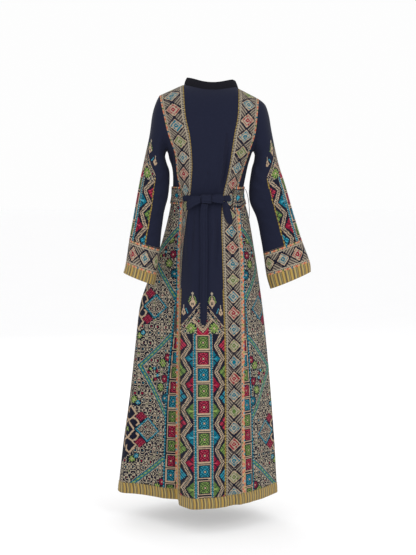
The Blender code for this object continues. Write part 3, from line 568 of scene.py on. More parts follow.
class Form:
    """The shared surface of the dress body, which every panel is cut from."""

    def __init__(self) -> None:
        """Keep the tables as arrays."""
        self.tables = {
            id(table): (np.array([row.z for row in table]), np.array(table, float))
            for table in (SECTIONS, BACK_SEAMS, FRONT_SEAMS)
        }

    def read(self, table: list, name: str, z: np.ndarray) -> np.ndarray:
        """Read a column of a table at heights, on a smooth curve through its rows.

        Args:
            table: the rows, from the top down.
            name: the column.
            z: heights.

        Returns:
            The values at those heights.
        """
        heights, rows = self.tables[id(table)]
        values = rows[:, table[0]._fields.index(name)]
        z = np.clip(z, heights[-1], heights[0])
        i = np.clip(np.searchsorted(-heights, -z, side="left") - 1, 0, len(heights) - 2)
        span = heights[i + 1] - heights[i]
        t = (z - heights[i]) / span
        low = np.maximum(np.arange(len(values)) - 1, 0)
        high = np.minimum(np.arange(len(values)) + 1, len(values) - 1)
        slopes = (values[high] - values[low]) / (heights[high] - heights[low])
        a, b = slopes[i] * span, slopes[i + 1] * span
        rise = values[i + 1] - values[i]
        return values[i] + t * a + t * t * (3 * rise - 2 * a - b) + t ** 3 * (a + b - 2 * rise)

    def angle(self, c: np.ndarray, section_z: np.ndarray, seam_z: np.ndarray) -> np.ndarray:
        """The angle of a column round the section: 0 at the left side, positive at the back.

        Args:
            c: columns, with 0 at the centre back.
            section_z: the height of the section.
            seam_z: the height at which the seams are read.

        Returns:
            Angles in radians.
        """
        left = self.read(SECTIONS, "side_l", section_z)
        right = self.read(SECTIONS, "side_r", section_z)
        back = np.abs(c) <= SIDE_COLUMN
        stops = [np.full(c.shape, math.pi)]
        for name in ("peach_r", "gold_r", "gold_l", "peach_l"):
            x = np.where(back, self.read(BACK_SEAMS, name, seam_z), self.read(FRONT_SEAMS, name, seam_z))
            stops.append(np.arccos(np.clip((2 * x - left - right) / (left - right), -1.0, 1.0)))
        stops.append(np.zeros(c.shape))
        marks = np.array(SEAM_COLUMNS)
        place = np.where(back, c, np.where(c > 0, ROUND / 2 - c, -ROUND / 2 - c))
        k = np.clip(np.searchsorted(marks, place, side="left") - 1, 0, len(marks) - 2)
        t = (place - marks[k]) / (marks[k + 1] - marks[k])
        first = np.choose(k, stops[:-1])
        second = np.choose(k, stops[1:])
        turned = first + (second - first) * t
        return np.where(back, turned, -turned)

    def section(self, c: np.ndarray, section_z: np.ndarray, seam_z: np.ndarray) -> tuple:
        """A point of the horizontal section.

        Args:
            c: columns.
            section_z: the height of the section.
            seam_z: the height at which the seams are read.

        Returns:
            The places across and along the depth, and the angle.
        """
        angle = self.angle(c, section_z, seam_z)
        left = self.read(SECTIONS, "side_l", section_z)
        right = self.read(SECTIONS, "side_r", section_z)
        across = np.cos(angle)
        x = (left + right) / 2 + across * (left - right) / 2
        power = self.read(SECTIONS, "power", section_z)
        edge = np.maximum(1.0 - np.abs(across) ** power, 0.0) ** (1.0 / power)
        depth = (1 - SIDE_ROUNDING) * edge + SIDE_ROUNDING * np.abs(np.sin(angle))
        y_side = (self.read(SECTIONS, "y_l", section_z) * (1 + across)
                  + self.read(SECTIONS, "y_r", section_z) * (1 - across)) / 2
        tuck = smooth((c - RECESS_START) / (2 - RECESS_START))
        folds = self.folds(MAIN_FOLDS, c, section_z)
        back = y_side + self.read(SECTIONS, "back", section_z) * depth * (
            1 - self.read(SECTIONS, "recess", section_z) * tuck - folds)
        front = y_side - self.read(SECTIONS, "front", section_z) * depth * (1 - folds)
        return x, np.where(angle >= 0, back, front), angle

    @staticmethod
    def folds(table: list, c: np.ndarray, z: np.ndarray) -> np.ndarray:
        """The sum of the folds at columns and heights.

        Args:
            table: the folds.
            c: columns.
            z: heights.

        Returns:
            Their depth there.
        """
        total = np.zeros(np.broadcast(c, z).shape)
        for fold in table:
            away = np.abs(wrap(c - fold.place)) / fold.half_width
            grown = smooth((fold.start_z - z) / (fold.start_z - fold.full_z))
            total += np.where(away < 1.0, fold.depth * grown * (0.5 + 0.5 * np.cos(math.pi * away)), 0.0)
        return total

    def point(self, c: np.ndarray, drop: np.ndarray) -> np.ndarray:
        """Points on the outside of the body.

        Args:
            c: columns round the body.
            drop: metres below the yoke line, or from 0 to -1 over the shoulder.

        Returns:
            The points, in metres.
        """
        c, drop = np.broadcast_arrays(np.asarray(c, float), np.asarray(drop, float))
        c = wrap(c)
        down = np.maximum(drop, 0.0)
        reach = np.where(np.abs(c) < 1.0, np.abs(c), np.clip(ROUND / 2 - np.abs(c), 0.0, 1.0))
        lowest = np.where(np.abs(c) < 1.0, BACK_NECK_ANGLE, FRONT_NECK_ANGLE)
        limit = np.radians(lowest + (90.0 - lowest) * reach ** NECK_CURVE)
        turn = np.maximum(-drop, 0.0) * limit
        z = YOKE_Z - down
        x, y, angle = self.section(c, z, np.where(drop >= 0, z, YOKE_Z * (1 - np.sin(turn))))
        top = NECK_Z - SHOULDER_SLOPE * np.maximum(np.abs(x) - NECK_HALF, 0.0) + SHOULDER_TILT * x
        sag = HEM_DROP * np.maximum(np.sin(angle), 0.0) * smooth((down - SAG_START) / SAG_LENGTH)
        y = np.where(drop >= 0, y, SHOULDER_Y + (y - SHOULDER_Y) * np.cos(turn))
        return np.stack([x, y, z - sag + (top - YOKE_Z) * np.sin(turn)], axis=-1)

    def normal(
        self, c: np.ndarray, drop: np.ndarray, low: float = -math.inf, high: float = math.inf,
    ) -> np.ndarray:
        """The outward direction of the body.

        Args:
            c: columns.
            drop: drops below the yoke line.
            low: the first column that the direction may be read from above the underarm.
            high: the last such column.

        Returns:
            Vectors of length one.
        """
        c, drop = np.broadcast_arrays(np.asarray(c, float), np.asarray(drop, float))
        above = drop < UNDERARM
        before, after = c - COLUMN_REACH, c + COLUMN_REACH
        before = np.where(above, np.maximum(before, low), before)
        after = np.where(above, np.minimum(after, high), after)
        upper, lower = np.maximum(drop - DROP_REACH, -1.0), drop + DROP_REACH
        lower = np.minimum(lower, np.where(drop < 0, -0.001, HEM_END))
        around = self.point(after, drop) - self.point(before, drop)
        return unit(np.cross(around, self.point(c, lower) - self.point(c, upper)))

    def dressed(
        self, c: np.ndarray, drop: np.ndarray, low: float = -math.inf, high: float = math.inf,
    ) -> np.ndarray:
        """Points of the body with its smaller folds and creases.

        Args:
            c: columns.
            drop: drops below the yoke line.
            low: the first column of the panel.
            high: the last column of the panel.

        Returns:
            The points, in metres.
        """
        points = self.point(c, drop)
        normals = self.normal(c, drop, low, high)
        lift = self.folds(SOFT_FOLDS, wrap(c), points[..., 2]) + crease_lift(CREASES, points, normals)
        return points + normals * lift[..., None]

    def column_at(self, x: float, z: float) -> float:
        """The column of the back that passes through a place, by halving.

        Args:
            x: the place across.
            z: its height.

        Returns:
            The column.
        """
        low, high = -SIDE_COLUMN, SIDE_COLUMN
        for _ in range(HALVINGS):
            middle = (low + high) / 2
            if self.section(np.array(middle), np.array(z), np.array(z))[0] < x:
                low = middle
            else:
                high = middle
        return (low + high) / 2

    def over(self, stop: Stop) -> tuple[np.ndarray, np.ndarray]:
        """The middle of a sash section and the outward direction of the body under it.

        Args:
            stop: the section.

        Returns:
            The point and the direction.
        """
        c, drop = self.column_at(stop.x, stop.z), YOKE_Z - stop.z
        normal = self.normal(np.array(c), np.array(drop))
        return self.point(np.array(c), np.array(drop)) + normal * stop.lift, normal


def crease_lift(creases: list, points: np.ndarray, normals: np.ndarray) -> np.ndarray:
    """How far the creases lift a grid of points.

    Args:
        creases: the creases, placed across and in height.
        points: the grid.
        normals: its outward directions.

    Returns:
        The lift of each point, in metres.
    """
    total = np.zeros(points.shape[:-1])
    flat = points[..., (0, 2)]
    for crease in creases:
        path = np.array(crease.path)
        run = lengths(path)
        nearest = np.full(total.shape, 1e9)
        side = np.zeros(total.shape)
        along = np.zeros(total.shape)
        for k in range(len(path) - 1):
            leg = path[k + 1] - path[k]
            t = np.clip(((flat - path[k]) @ leg) / (leg @ leg), 0.0, 1.0)
            away = flat - path[k] - t[..., None] * leg
            gap = np.linalg.norm(away, axis=-1)
            turned = np.sign(leg[0] * away[..., 1] - leg[1] * away[..., 0])
            closer = gap < nearest
            nearest = np.where(closer, gap, nearest)
            side = np.where(closer, turned * gap, side)
            along = np.where(closer, (run[k] + t * (run[k + 1] - run[k])) / run[-1], along)
        near = side / crease.half_width
        shape = np.exp(-(near - CREASE_SHIFT) ** 2 * CREASE_FALL)
        shape -= np.exp(-(near + CREASE_SHIFT) ** 2 * CREASE_FALL)
        shape *= np.exp(-((nearest - np.abs(side)) / crease.half_width) ** 2)
        facing = np.clip(crease.face * normals[..., 1] * FACING_GAIN + FACING_START, 0.0, 1.0)
        grown = np.sin(math.pi * np.clip(along, *CREASE_ENDS)) ** CREASE_GROWTH
        total += crease.depth * shape * grown * facing
    return total


class Spot(NamedTuple):
    """Where a motif stands: stitches out from the middle line, and metres below the neck point."""

    out: float
    drop: float

    def away(self, x: np.ndarray, drop: np.ndarray) -> tuple[np.ndarray, np.ndarray]:
        """Stitches across and down from it."""
        return x - self.out, (drop - self.drop) / STITCH


@dataclass(frozen=True)
class Design:
    """The charts of the embroidery. Widths are counted in stitches, and places in height in metres."""

    square_pitch: float = 18.7
    square_half: float = 5.9
    square_tall: float = 6.6
    frame_edge: float = 8.0
    line_edge: float = 9.0
    tick_edge: float = 11.0
    zigzag_edge: float = 12.0
    gold_edge: float = 27.0
    zigzag_pitch: float = 30.3
    zigzag_start: float = -4.0
    zigzag_in: float = 15.7
    zigzag_out: float = 24.4
    zigzag_slant: float = 0.81
    zigzag_half: float = 1.9
    zigzag_core: float = 1.15
    outer_fan: float = 7.0
    inner_fan: float = 8.6
    fan_slope: float = 0.9
    vein_half: float = 0.7
    vein_length: float = 5.0
    centre_half: float = 28.0
    first_square: float = 0.8645
    tent_foot: float = 0.818
    tent_top: float = 0.722
    tent_edge: float = 8.5
    vee_top: float = 0.8265
    vee_slope: float = 0.049 / 15.0
    vee_half: float = 3.4
    head_flower: Spot = Spot(14.3, 0.8175)
    palmette: Spot = Spot(12.8, 0.698)
    droplet: Spot = Spot(23.6, 0.742)
    lap: float = 0.4265
    motif_z: float = 1.188
    ring_z: float = 0.994
    ring_out: float = 25.0
    ring_inner: float = 5.4
    ring_outer: float = 8.6
    stroke_half: float = 1.0
    scroll_scale: float = 0.78
    field_tip: float = 20.0
    field_slope: float = 0.95
    leg_half: float = 3.4
    square_foot: float = 1.359
    squares_top: float = -0.845
    side_pitch: float = 0.0502
    side_square: tuple[float, float, float] = (7.4, 4.4, 6.2)
    bead_start: float = 0.0014
    edge_width: float = 0.0068

    @staticmethod
    def repeat(chart: list[str], i: np.ndarray, j: np.ndarray) -> np.ndarray:
        """Lay a charted repeat.

        Args:
            chart: its rows, from the line of symmetry outwards.
            i: rows of stitches.
            j: stitches across.

        Returns:
            The thread of each stitch.
        """
        table = np.array([[SIGNS[sign] for sign in row] for row in chart])
        width = table.shape[1]
        across = np.floor(j).astype(int) % (2 * width - 1)
        across = np.where(across < width, across, 2 * width - 1 - across)
        return table[np.floor(i).astype(int) % len(chart), across]

    @staticmethod
    def square(dx: np.ndarray, dy: np.ndarray, half: float, tall: float, dye: np.ndarray) -> np.ndarray:
        """A framed square with a rosette in it.

        Args:
            dx: distance from its middle across.
            dy: distance from its middle in height.
            half: half the width of the dyed field.
            tall: half the height of the dyed field.
            dye: the thread of the field.

        Returns:
            The thread of each stitch.
        """
        table = np.array([list(row) for row in ROSETTE])
        last_b, last_a = table.shape[0] - 1, table.shape[1] - 1
        a = np.clip(dx * (last_a + 0.9) / half, 0, last_a).astype(int)
        b = np.clip(dy * (last_b + 0.9) / tall, 0, last_b).astype(int)
        sign = table[b, a]
        fill = np.select([sign == "L", sign == "n", sign == "b"],
                         [SOFT_OF[dye], Thread.NAVY, Thread.BEIGE], dye)
        out = np.maximum(dx - half, dy - tall)
        corner = (dx > half - 0.2) & (dy > tall - 0.2)
        frame = np.where((out >= 0.8) & (out < 2.0), Thread.BEIGE, Thread.NAVY)
        return np.where((out <= 0) & ~corner, fill, frame)

    @staticmethod
    def star(a: np.ndarray, b: np.ndarray, radius: float) -> np.ndarray:
        """Where an eight-petalled flower covers the cloth.

        Args:
            a: distance from its middle across.
            b: distance from its middle in height.
            radius: its radius.

        Returns:
            0 outside, 1 on the petals, 2 on their veins and 3 at the heart.
        """
        r, turn = np.hypot(a, b), np.arctan2(b, a)
        petal = r < radius * (0.55 + 0.45 * np.abs(np.cos(4 * turn)))
        vein = petal & (np.abs(np.sin(4 * turn)) > 0.86) & (r > radius * 0.30)
        return np.where(r < radius * 0.22, 3, np.where(vein, 2, np.where(petal, 1, 0)))

    def band(
        self, j: np.ndarray, i: np.ndarray, start: float, pitch: float = 19.35, inner: Thread = Thread.GOLD,
    ) -> np.ndarray:
        """The lattice of diamonds between the gold and the peach line, 28 stitches wide.

        Args:
            j: stitches across from the inner edge.
            i: stitches along.
            start: where the first diamond begins.
            pitch: stitches from one diamond to the next.
            inner: the thread of the inner line.

        Returns:
            The thread of each stitch.
        """
        i, j = np.floor(i).astype(int), np.floor(j).astype(int)
        x = np.abs(j - 13.5)
        place = (i + 0.5 - start) / pitch
        y = np.abs(place - np.floor(place) - 0.5) * pitch
        dye = cycle((Thread.TEAL, Thread.CRIMSON, Thread.TEAL, Thread.GREEN), np.floor(place).astype(int))
        hatch = (i + np.floor(x).astype(int)) % 4
        ground = np.select([hatch == 0, hatch == 2], [Thread.NAVY, Thread.STONE], Thread.TAUPE)
        dots = np.where(((i + j) % 2 == 0) | ((i - j) % 3 == 0), dye, Thread.STONE)
        e, rim = x * 0.86 + y, pitch / 2
        fill = np.select(
            [e < 0.9, e < 3.0, e < 4.6, e < rim - 2.6, e < rim - 1.4, e < rim + 1.0],
            [Thread.BEIGE, dye, Thread.STONE, dots, Thread.BEIGE, Thread.NAVY], ground)
        tick = cycle((Thread.STONE, Thread.NAVY), i)
        beads = cycle((Thread.ORANGE, Thread.TEAL, Thread.ORANGE, Thread.GREEN), i // 5)
        peach = np.where(i % 5 < 2, beads, Thread.PEACH)
        line, next_line = (gold_line(i), tick) if inner == Thread.GOLD else (peach, peach)
        return np.select([j < 1, j == 1, (j == 2) | (j == 25), (j == 3) | (j == 24), j >= 26],
                         [line, next_line, tick, Thread.STONE, peach], fill)

    def centre(self, x: np.ndarray, drop: np.ndarray, edge: float | None = None) -> np.ndarray:
        """The column of squares between two zigzags, with its pointed head.

        Args:
            x: stitches from the middle line, without sign.
            drop: metres below the neck point.
            edge: where the gold line lies, in stitches from the middle.

        Returns:
            The thread of each stitch.
        """
        y = (drop - self.first_square) / STITCH
        i, k = np.floor(y).astype(int), np.floor(x).astype(int)
        step = np.floor(y / self.square_pitch + 0.5).astype(int)
        dy = np.abs(y - step * self.square_pitch)
        dye = cycle((Thread.GREEN, Thread.CRIMSON, Thread.TEAL), step)
        thread = self.square(x, dy, self.square_half, self.square_tall, dye)
        glint = np.where(i % 6 == 0, Thread.CYAN, Thread.TEAL)
        tick = cycle((Thread.STONE, Thread.NAVY), i)
        edges = (self.zigzag_edge, self.tick_edge, self.line_edge, self.frame_edge)
        thread = np.select([x > start for start in edges], [Thread.NAVY, tick, glint, tick], thread)
        thread = self.zigzag(thread, x, y, i + k)
        head = self.head(x, drop, i, k)
        thread = np.where(head >= 0, head, thread)
        return np.where(x > (self.gold_edge if edge is None else edge), gold_line(i), thread)

    def zigzag(self, thread: np.ndarray, x: np.ndarray, y: np.ndarray, slant: np.ndarray) -> np.ndarray:
        """Lay the zigzag beside the squares, with a fan of leaves in each of its turns.

        Args:
            thread: the threads laid so far.
            x: stitches from the middle line.
            y: stitches below the first square's middle.
            slant: whole stitches down and across together.

        Returns:
            The threads with the zigzag.
        """
        half = self.zigzag_pitch / 2
        place = y + self.zigzag_start
        phase, turn = place % self.zigzag_pitch, place / self.zigzag_pitch
        near, rise = np.minimum(phase, self.zigzag_pitch - phase), np.abs(phase - half)
        line = self.zigzag_in + (self.zigzag_out - self.zigzag_in) * (near / half)
        dye = cycle((Thread.CRIMSON, Thread.GREEN, Thread.TEAL), np.round(turn).astype(int))
        depth = self.gold_edge - x
        fan = (depth + self.fan_slope * near < self.outer_fan) & (np.abs(near - depth) > self.vein_half)
        thread = np.where(fan & (x > line), np.where(slant % 4 == 0, SOFT_OF[dye], dye), thread)
        dye = cycle((Thread.TEAL, Thread.CRIMSON, Thread.GREEN), np.floor(turn).astype(int))
        depth = x - self.zigzag_edge
        fan = (depth + self.fan_slope * rise < self.inner_fan) & (depth > 0) & (x < line) & (turn >= 0)
        thread = np.where(fan & (np.abs(rise - depth) > self.vein_half), dye, thread)
        thread = np.where(fan & (rise < self.vein_half) & (depth < self.vein_length), SOFT_OF[dye], thread)
        gap = np.abs(x - line) * self.zigzag_slant
        dash = cycle((Thread.NAVY, Thread.STONE, Thread.UMBER), slant)
        dash = np.where(gap > self.zigzag_core, Thread.BEIGE, dash)
        return np.where((gap < self.zigzag_half) & (x > self.zigzag_edge), dash, thread)

    def head(self, x: np.ndarray, drop: np.ndarray, i: np.ndarray, k: np.ndarray) -> np.ndarray:
        """The pointed head of the design: two slanted bands, flowers, and finials above them.

        Args:
            x: stitches from the middle line.
            drop: metres below the neck point.
            i: whole stitches down.
            k: whole stitches across.

        Returns:
            The thread of each stitch, or -1 below the head.
        """
        roof = self.tent_top + (self.tent_foot - self.tent_top) / self.centre_half * x
        below = (drop - roof) / STITCH
        vee = (self.vee_top - self.vee_slope * x - drop) / STITCH
        inside = (below >= 0) & (drop < np.where(x < self.line_edge, 0.8395, self.tent_foot + 0.018))
        hatch = self.repeat(SCROLL, i + 5, k)
        out = np.where(inside, hatch, -1)
        across, rise = self.head_flower.away(x, drop)
        flower = self.star(across, rise, 6.2)
        spread, flat = np.maximum(np.abs(across), np.abs(rise)), np.minimum(np.abs(across), np.abs(rise))
        cross = (spread + 0.8 * flat < 7.6) & (flat < 2.2)
        rail = np.where((i - k) % 3 == 0, Thread.UMBER, Thread.BEIGE)
        rail = np.where(np.abs(vee) > 2.6, Thread.NAVY, rail)
        for where, thread in (
            ((np.hypot(across, rise) < 4.0) | cross, Thread.NAVY),
            (flower == 1, np.where((i + k) % 3 == 0, Thread.GREEN, Thread.LIME)),
            ((flower == 2) & (spread < 5.0), Thread.GREEN),
            (flower == 3, Thread.BEIGE),
            ((np.abs(vee) < self.vee_half) & (x < 14), rail),
            ((vee > 5.0) & (vee < 7.2) & (x > 4.4) & (x < 6.4), Thread.CRIMSON),
            ((vee < -self.vee_half) & (x < 6.6), np.where((i + k) % 5 == 0, Thread.ROSE, Thread.CRIMSON)),
        ):
            out = np.where(inside & where, thread, out)
        edge = (below >= 0) & (below < self.tent_edge)
        rim = (below < 1.0) | ((below > self.tent_edge - 1.1) & edge)
        lattice = np.where((i + 2 * k) % 4 < 2, hatch, Thread.NAVY)
        out = np.where(edge, np.where(rim, Thread.BEIGE, lattice), out)
        out = np.where(below < 0, Thread.CREPE, out)
        out = self.stamp(out, PALMETTE, *self.palmette.away(x, drop), True)
        return self.stamp(out, DROPLET, *self.droplet.away(x, drop), False)

    @staticmethod
    def stamp(out: np.ndarray, chart: list[str], a: np.ndarray, b: np.ndarray, both: bool) -> np.ndarray:
        """Lay one charted motif on plain cloth.

        Args:
            out: the threads laid so far.
            chart: half of the motif, from its middle outwards.
            a: stitches across from its middle.
            b: stitches down from its top.
            both: whether its coloured leaves stand on both sides, or on the inner side alone.

        Returns:
            The threads with the motif on them.
        """
        table = np.array([[SIGNS[sign] for sign in row] for row in chart])
        row, column = np.floor(b).astype(int), np.floor(np.abs(a) + 0.5).astype(int)
        inside = (row >= 0) & (row < table.shape[0]) & (column < table.shape[1])
        thread = table[np.clip(row, 0, table.shape[0] - 1), np.clip(column, 0, table.shape[1] - 1)]
        leaf = (thread == Thread.CYAN) & (a > 0) & (not both)
        return np.where(inside & (thread != Thread.CREPE) & ~leaf, thread, out)

    def side(self, near: np.ndarray, z: np.ndarray) -> np.ndarray:
        """The side panel: a column of squares, a dotted line, and scrolls crossed by a great zigzag.

        Args:
            near: metres from the peach line, along the cloth.
            z: heights.

        Returns:
            The thread of each stitch.
        """
        s = near - np.interp(-z, *zip(*DOTTED_LINE))
        i, k = np.floor(-z / STITCH).astype(int), np.floor(near / STITCH).astype(int)
        row, column = np.floor(i * self.scroll_scale).astype(int), np.floor(k * self.scroll_scale).astype(int)
        thread = self.repeat(SCROLL, row, column + 9 * ((row // len(SCROLL)) % 2))
        u = s / STITCH
        thread = self.vines(thread, u, z, i, k)
        thread = self.flowers(thread, u, z, i + k)
        thread = self.legs(thread, s, z, i)
        place = (self.square_foot + z) / self.side_pitch
        dye = cycle(SQUARE_DYES, np.floor(place).astype(int))
        dy = np.abs(place - np.floor(place) - 0.5) * self.side_pitch / STITCH
        middle, half, tall = self.side_square
        column = np.where(z < self.squares_top, self.square(np.abs(u + middle), dy, half, tall, dye),
                          cycle((Thread.TAUPE, Thread.NAVY), i + k))
        glint = cycle((Thread.NAVY, Thread.CYAN, Thread.TEAL, Thread.TEAL), i)
        thread = np.select([u < 0.2, u < 2.0], [column, glint], thread)
        beads = cycle((Thread.ORANGE, Thread.CYAN, Thread.ORANGE, Thread.LIME), i // 4)
        edge = np.where((i % 4 < 2) & (near > self.bead_start), beads, Thread.PEACH)
        return np.where(near < self.edge_width, edge, thread)

    def vines(
        self, thread: np.ndarray, u: np.ndarray, z: np.ndarray, i: np.ndarray, k: np.ndarray,
    ) -> np.ndarray:
        """Lay the navy fields at the side, with their vines and diamonds.

        Args:
            thread: the threads laid so far.
            u: stitches out from the dotted line.
            z: heights.
            i: whole stitches down.
            k: whole stitches across.

        Returns:
            The threads with the fields.
        """
        lap = np.round((z + self.motif_z) / -self.lap).astype(int)
        v = np.abs(z + self.motif_z + lap * self.lap) / STITCH
        inside = v < (u - self.field_tip) * self.field_slope
        thread = np.where(inside, Thread.NAVY, thread)
        for stroke in SCROLL_STROKES:
            reach = np.full(u.shape, 99.0)
            for (u0, v0), (u1, v1) in zip(stroke, stroke[1:]):
                share = ((u - u0) * (u1 - u0) + (v - v0) * (v1 - v0)) / ((u1 - u0) ** 2 + (v1 - v0) ** 2)
                share = np.clip(share, 0.0, 1.0)
                reach = np.minimum(reach, np.hypot(u - u0 - share * (u1 - u0), v - v0 - share * (v1 - v0)))
            thread = np.where(inside & (reach < self.stroke_half), Thread.BEIGE, thread)
        red = np.select([(i + k) % 3 == 0, (i - k) % 4 == 0], [Thread.NAVY, Thread.ROSE], Thread.CRIMSON)
        blue = np.where((i + k) % 3 == 0, Thread.CYAN, Thread.TEAL)
        e = np.abs(u - 28.5) + v * 1.15
        blue = np.where(e > 14.6, blue, self.repeat(SCROLL, i + 5, k))
        for away, wide, fill in ((np.abs(u - 38.0) + np.abs(v - 15.6) * 1.25, 7.4, red), (e, 17.0, blue)):
            thread = np.where(away < wide + 1.2, np.where(away < wide, fill, Thread.NAVY), thread)
        return thread

    def flowers(self, thread: np.ndarray, u: np.ndarray, z: np.ndarray, slant: np.ndarray) -> np.ndarray:
        """Lay the flowers and the rings of the side panel.

        Args:
            thread: the threads laid so far.
            u: stitches out from the dotted line.
            z: heights.
            slant: whole stitches down and across together.

        Returns:
            The threads with the flowers.
        """
        for place, at, size, dye in SIDE_FLOWERS:
            rise = ((z + at + 0.5 * self.lap) % self.lap - 0.5 * self.lap) / STITCH
            flower = self.star(u - place, rise, size)
            thread = np.where(np.hypot(u - place, rise) < size + 0.7, Thread.NAVY, thread)
            petal = (flower == 1) | (flower == 2)
            thread = np.where(petal, np.where(slant % 4 == 0, Thread.NAVY, dye), thread)
            thread = np.where(flower == 3, Thread.BEIGE, thread)
        rise = (z + self.ring_z + 0.5 * self.lap) % self.lap - 0.5 * self.lap
        ring = np.hypot(u - self.ring_out, rise / STITCH)
        spin = np.arctan2(rise, (u - self.ring_out) * STITCH)
        dots = cycle((Thread.CYAN, Thread.CRIMSON, Thread.LIME), np.floor((spin + 3.2) * 1.27).astype(int))
        dots = np.where(np.sin(8 * spin) > 0.1, dots, Thread.NAVY)
        return np.where((ring < self.ring_outer) & (ring > self.ring_inner), dots, thread)

    def legs(self, thread: np.ndarray, s: np.ndarray, z: np.ndarray, i: np.ndarray) -> np.ndarray:
        """Lay the great zigzag of the side panel.

        Args:
            thread: the threads laid so far.
            s: metres out from the dotted line.
            z: heights.
            i: whole stitches down.

        Returns:
            The threads with the zigzag.
        """
        core = cycle((Thread.LIME, Thread.GREEN), i // 2)
        for (s0, z0), (s1, z1) in GREAT_ZIGZAG:
            line = s0 + (s1 - s0) * (z - z0) / (z1 - z0)
            slope = math.cos(math.atan2(abs(s1 - s0), abs(z1 - z0)))
            gap = np.where((z <= z0) & (z >= z1) & (s > -0.003), np.abs(s - line) * slope / STITCH, 9.0)
            thread = np.select([gap < 0.8, gap < 2.3, gap < 2.8, gap < self.leg_half],
                               [core, Thread.TEAL, Thread.NAVY, Thread.STONE], thread)
        return thread

    def belt(self, j: np.ndarray, i: np.ndarray, rows: int) -> np.ndarray:
        """The belt: beaded peach edges with small diamonds between them.

        Args:
            j: stitches along.
            i: stitches across.
            rows: how many stitches wide the belt is.

        Returns:
            The thread of each stitch.
        """
        edge = np.minimum(i, rows - 1 - i)
        d = np.abs(j % 16 - 7.5) + np.abs(i - (rows - 1) / 2)
        dye = cycle((Thread.TEAL, Thread.CYAN, Thread.GREEN), j // 16)
        fill = np.select([d < 3.4, d < 4.6], [dye, Thread.NAVY], self.repeat(SCROLL, i + 4, j))
        beads = np.where(j % 4 < 2, cycle((Thread.ORANGE, Thread.TEAL, Thread.GREEN), j // 4), Thread.PEACH)
        return np.select([edge < 2, edge == 2], [beads, Thread.NAVY], fill)


DESIGN = Design()
FORM = Form()


class Value:
    """A shader socket whose arithmetic adds Math nodes."""

    def __init__(self, paint: "Paint", socket: bpy.types.NodeSocket) -> None:
        """Wrap an output socket of a paint's node tree."""
        self.paint, self.socket = paint, socket

    def _join(self, kind: str, first: object, second: object) -> "Value":
        """Add a Math node of two operands."""
        return self.paint.value("ShaderNodeMath", {"operation": kind}, {0: first, 1: second})

    def __add__(self, other: object) -> "Value":
        """Sum."""
        return self._join("ADD", self, other)

    __radd__ = __add__

    def __mul__(self, other: object) -> "Value":
        """Product."""
        return self._join("MULTIPLY", self, other)

    __rmul__ = __mul__

    def __sub__(self, other: object) -> "Value":
        """Difference."""
        return self._join("SUBTRACT", self, other)

    def __rsub__(self, other: object) -> "Value":
        """Difference from a number."""
        return self._join("SUBTRACT", other, self)

    def __truediv__(self, other: object) -> "Value":
        """Quotient."""
        return self._join("DIVIDE", self, other)

    def call(self, kind: str, other: object = 0.0) -> "Value":
        """Any other Math operation."""
        return self._join(kind, self, other)


def add_node(tree: bpy.types.NodeTree, kind: str, settings: dict, inputs: dict) -> bpy.types.Node:
    """Add a node to a tree.

    Args:
        tree: the node tree.
        kind: the node's Blender type.
        settings: its properties; "stops" sets a ramp's places and colours.
        inputs: values or links of its sockets, by name or number.

    Returns:
        The node.
    """
    made = tree.nodes.new(kind)
    for key, value in settings.items():
        if key == "stops":
            ramp = made.color_ramp
            ramp.interpolation = "CONSTANT"
            while len(ramp.elements) < len(value):
                ramp.elements.new(1.0)
            for element, (place, colour) in zip(ramp.elements, value):
                element.position = place
                element.color = (*colour, 1.0)
        else:
            setattr(made, key, value)
    for key, value in inputs.items():
        value = value.socket if isinstance(value, Value) else value
        if isinstance(value, bpy.types.NodeSocket):
            tree.links.new(value, made.inputs[key])
        else:
            made.inputs[key].default_value = value
    return made


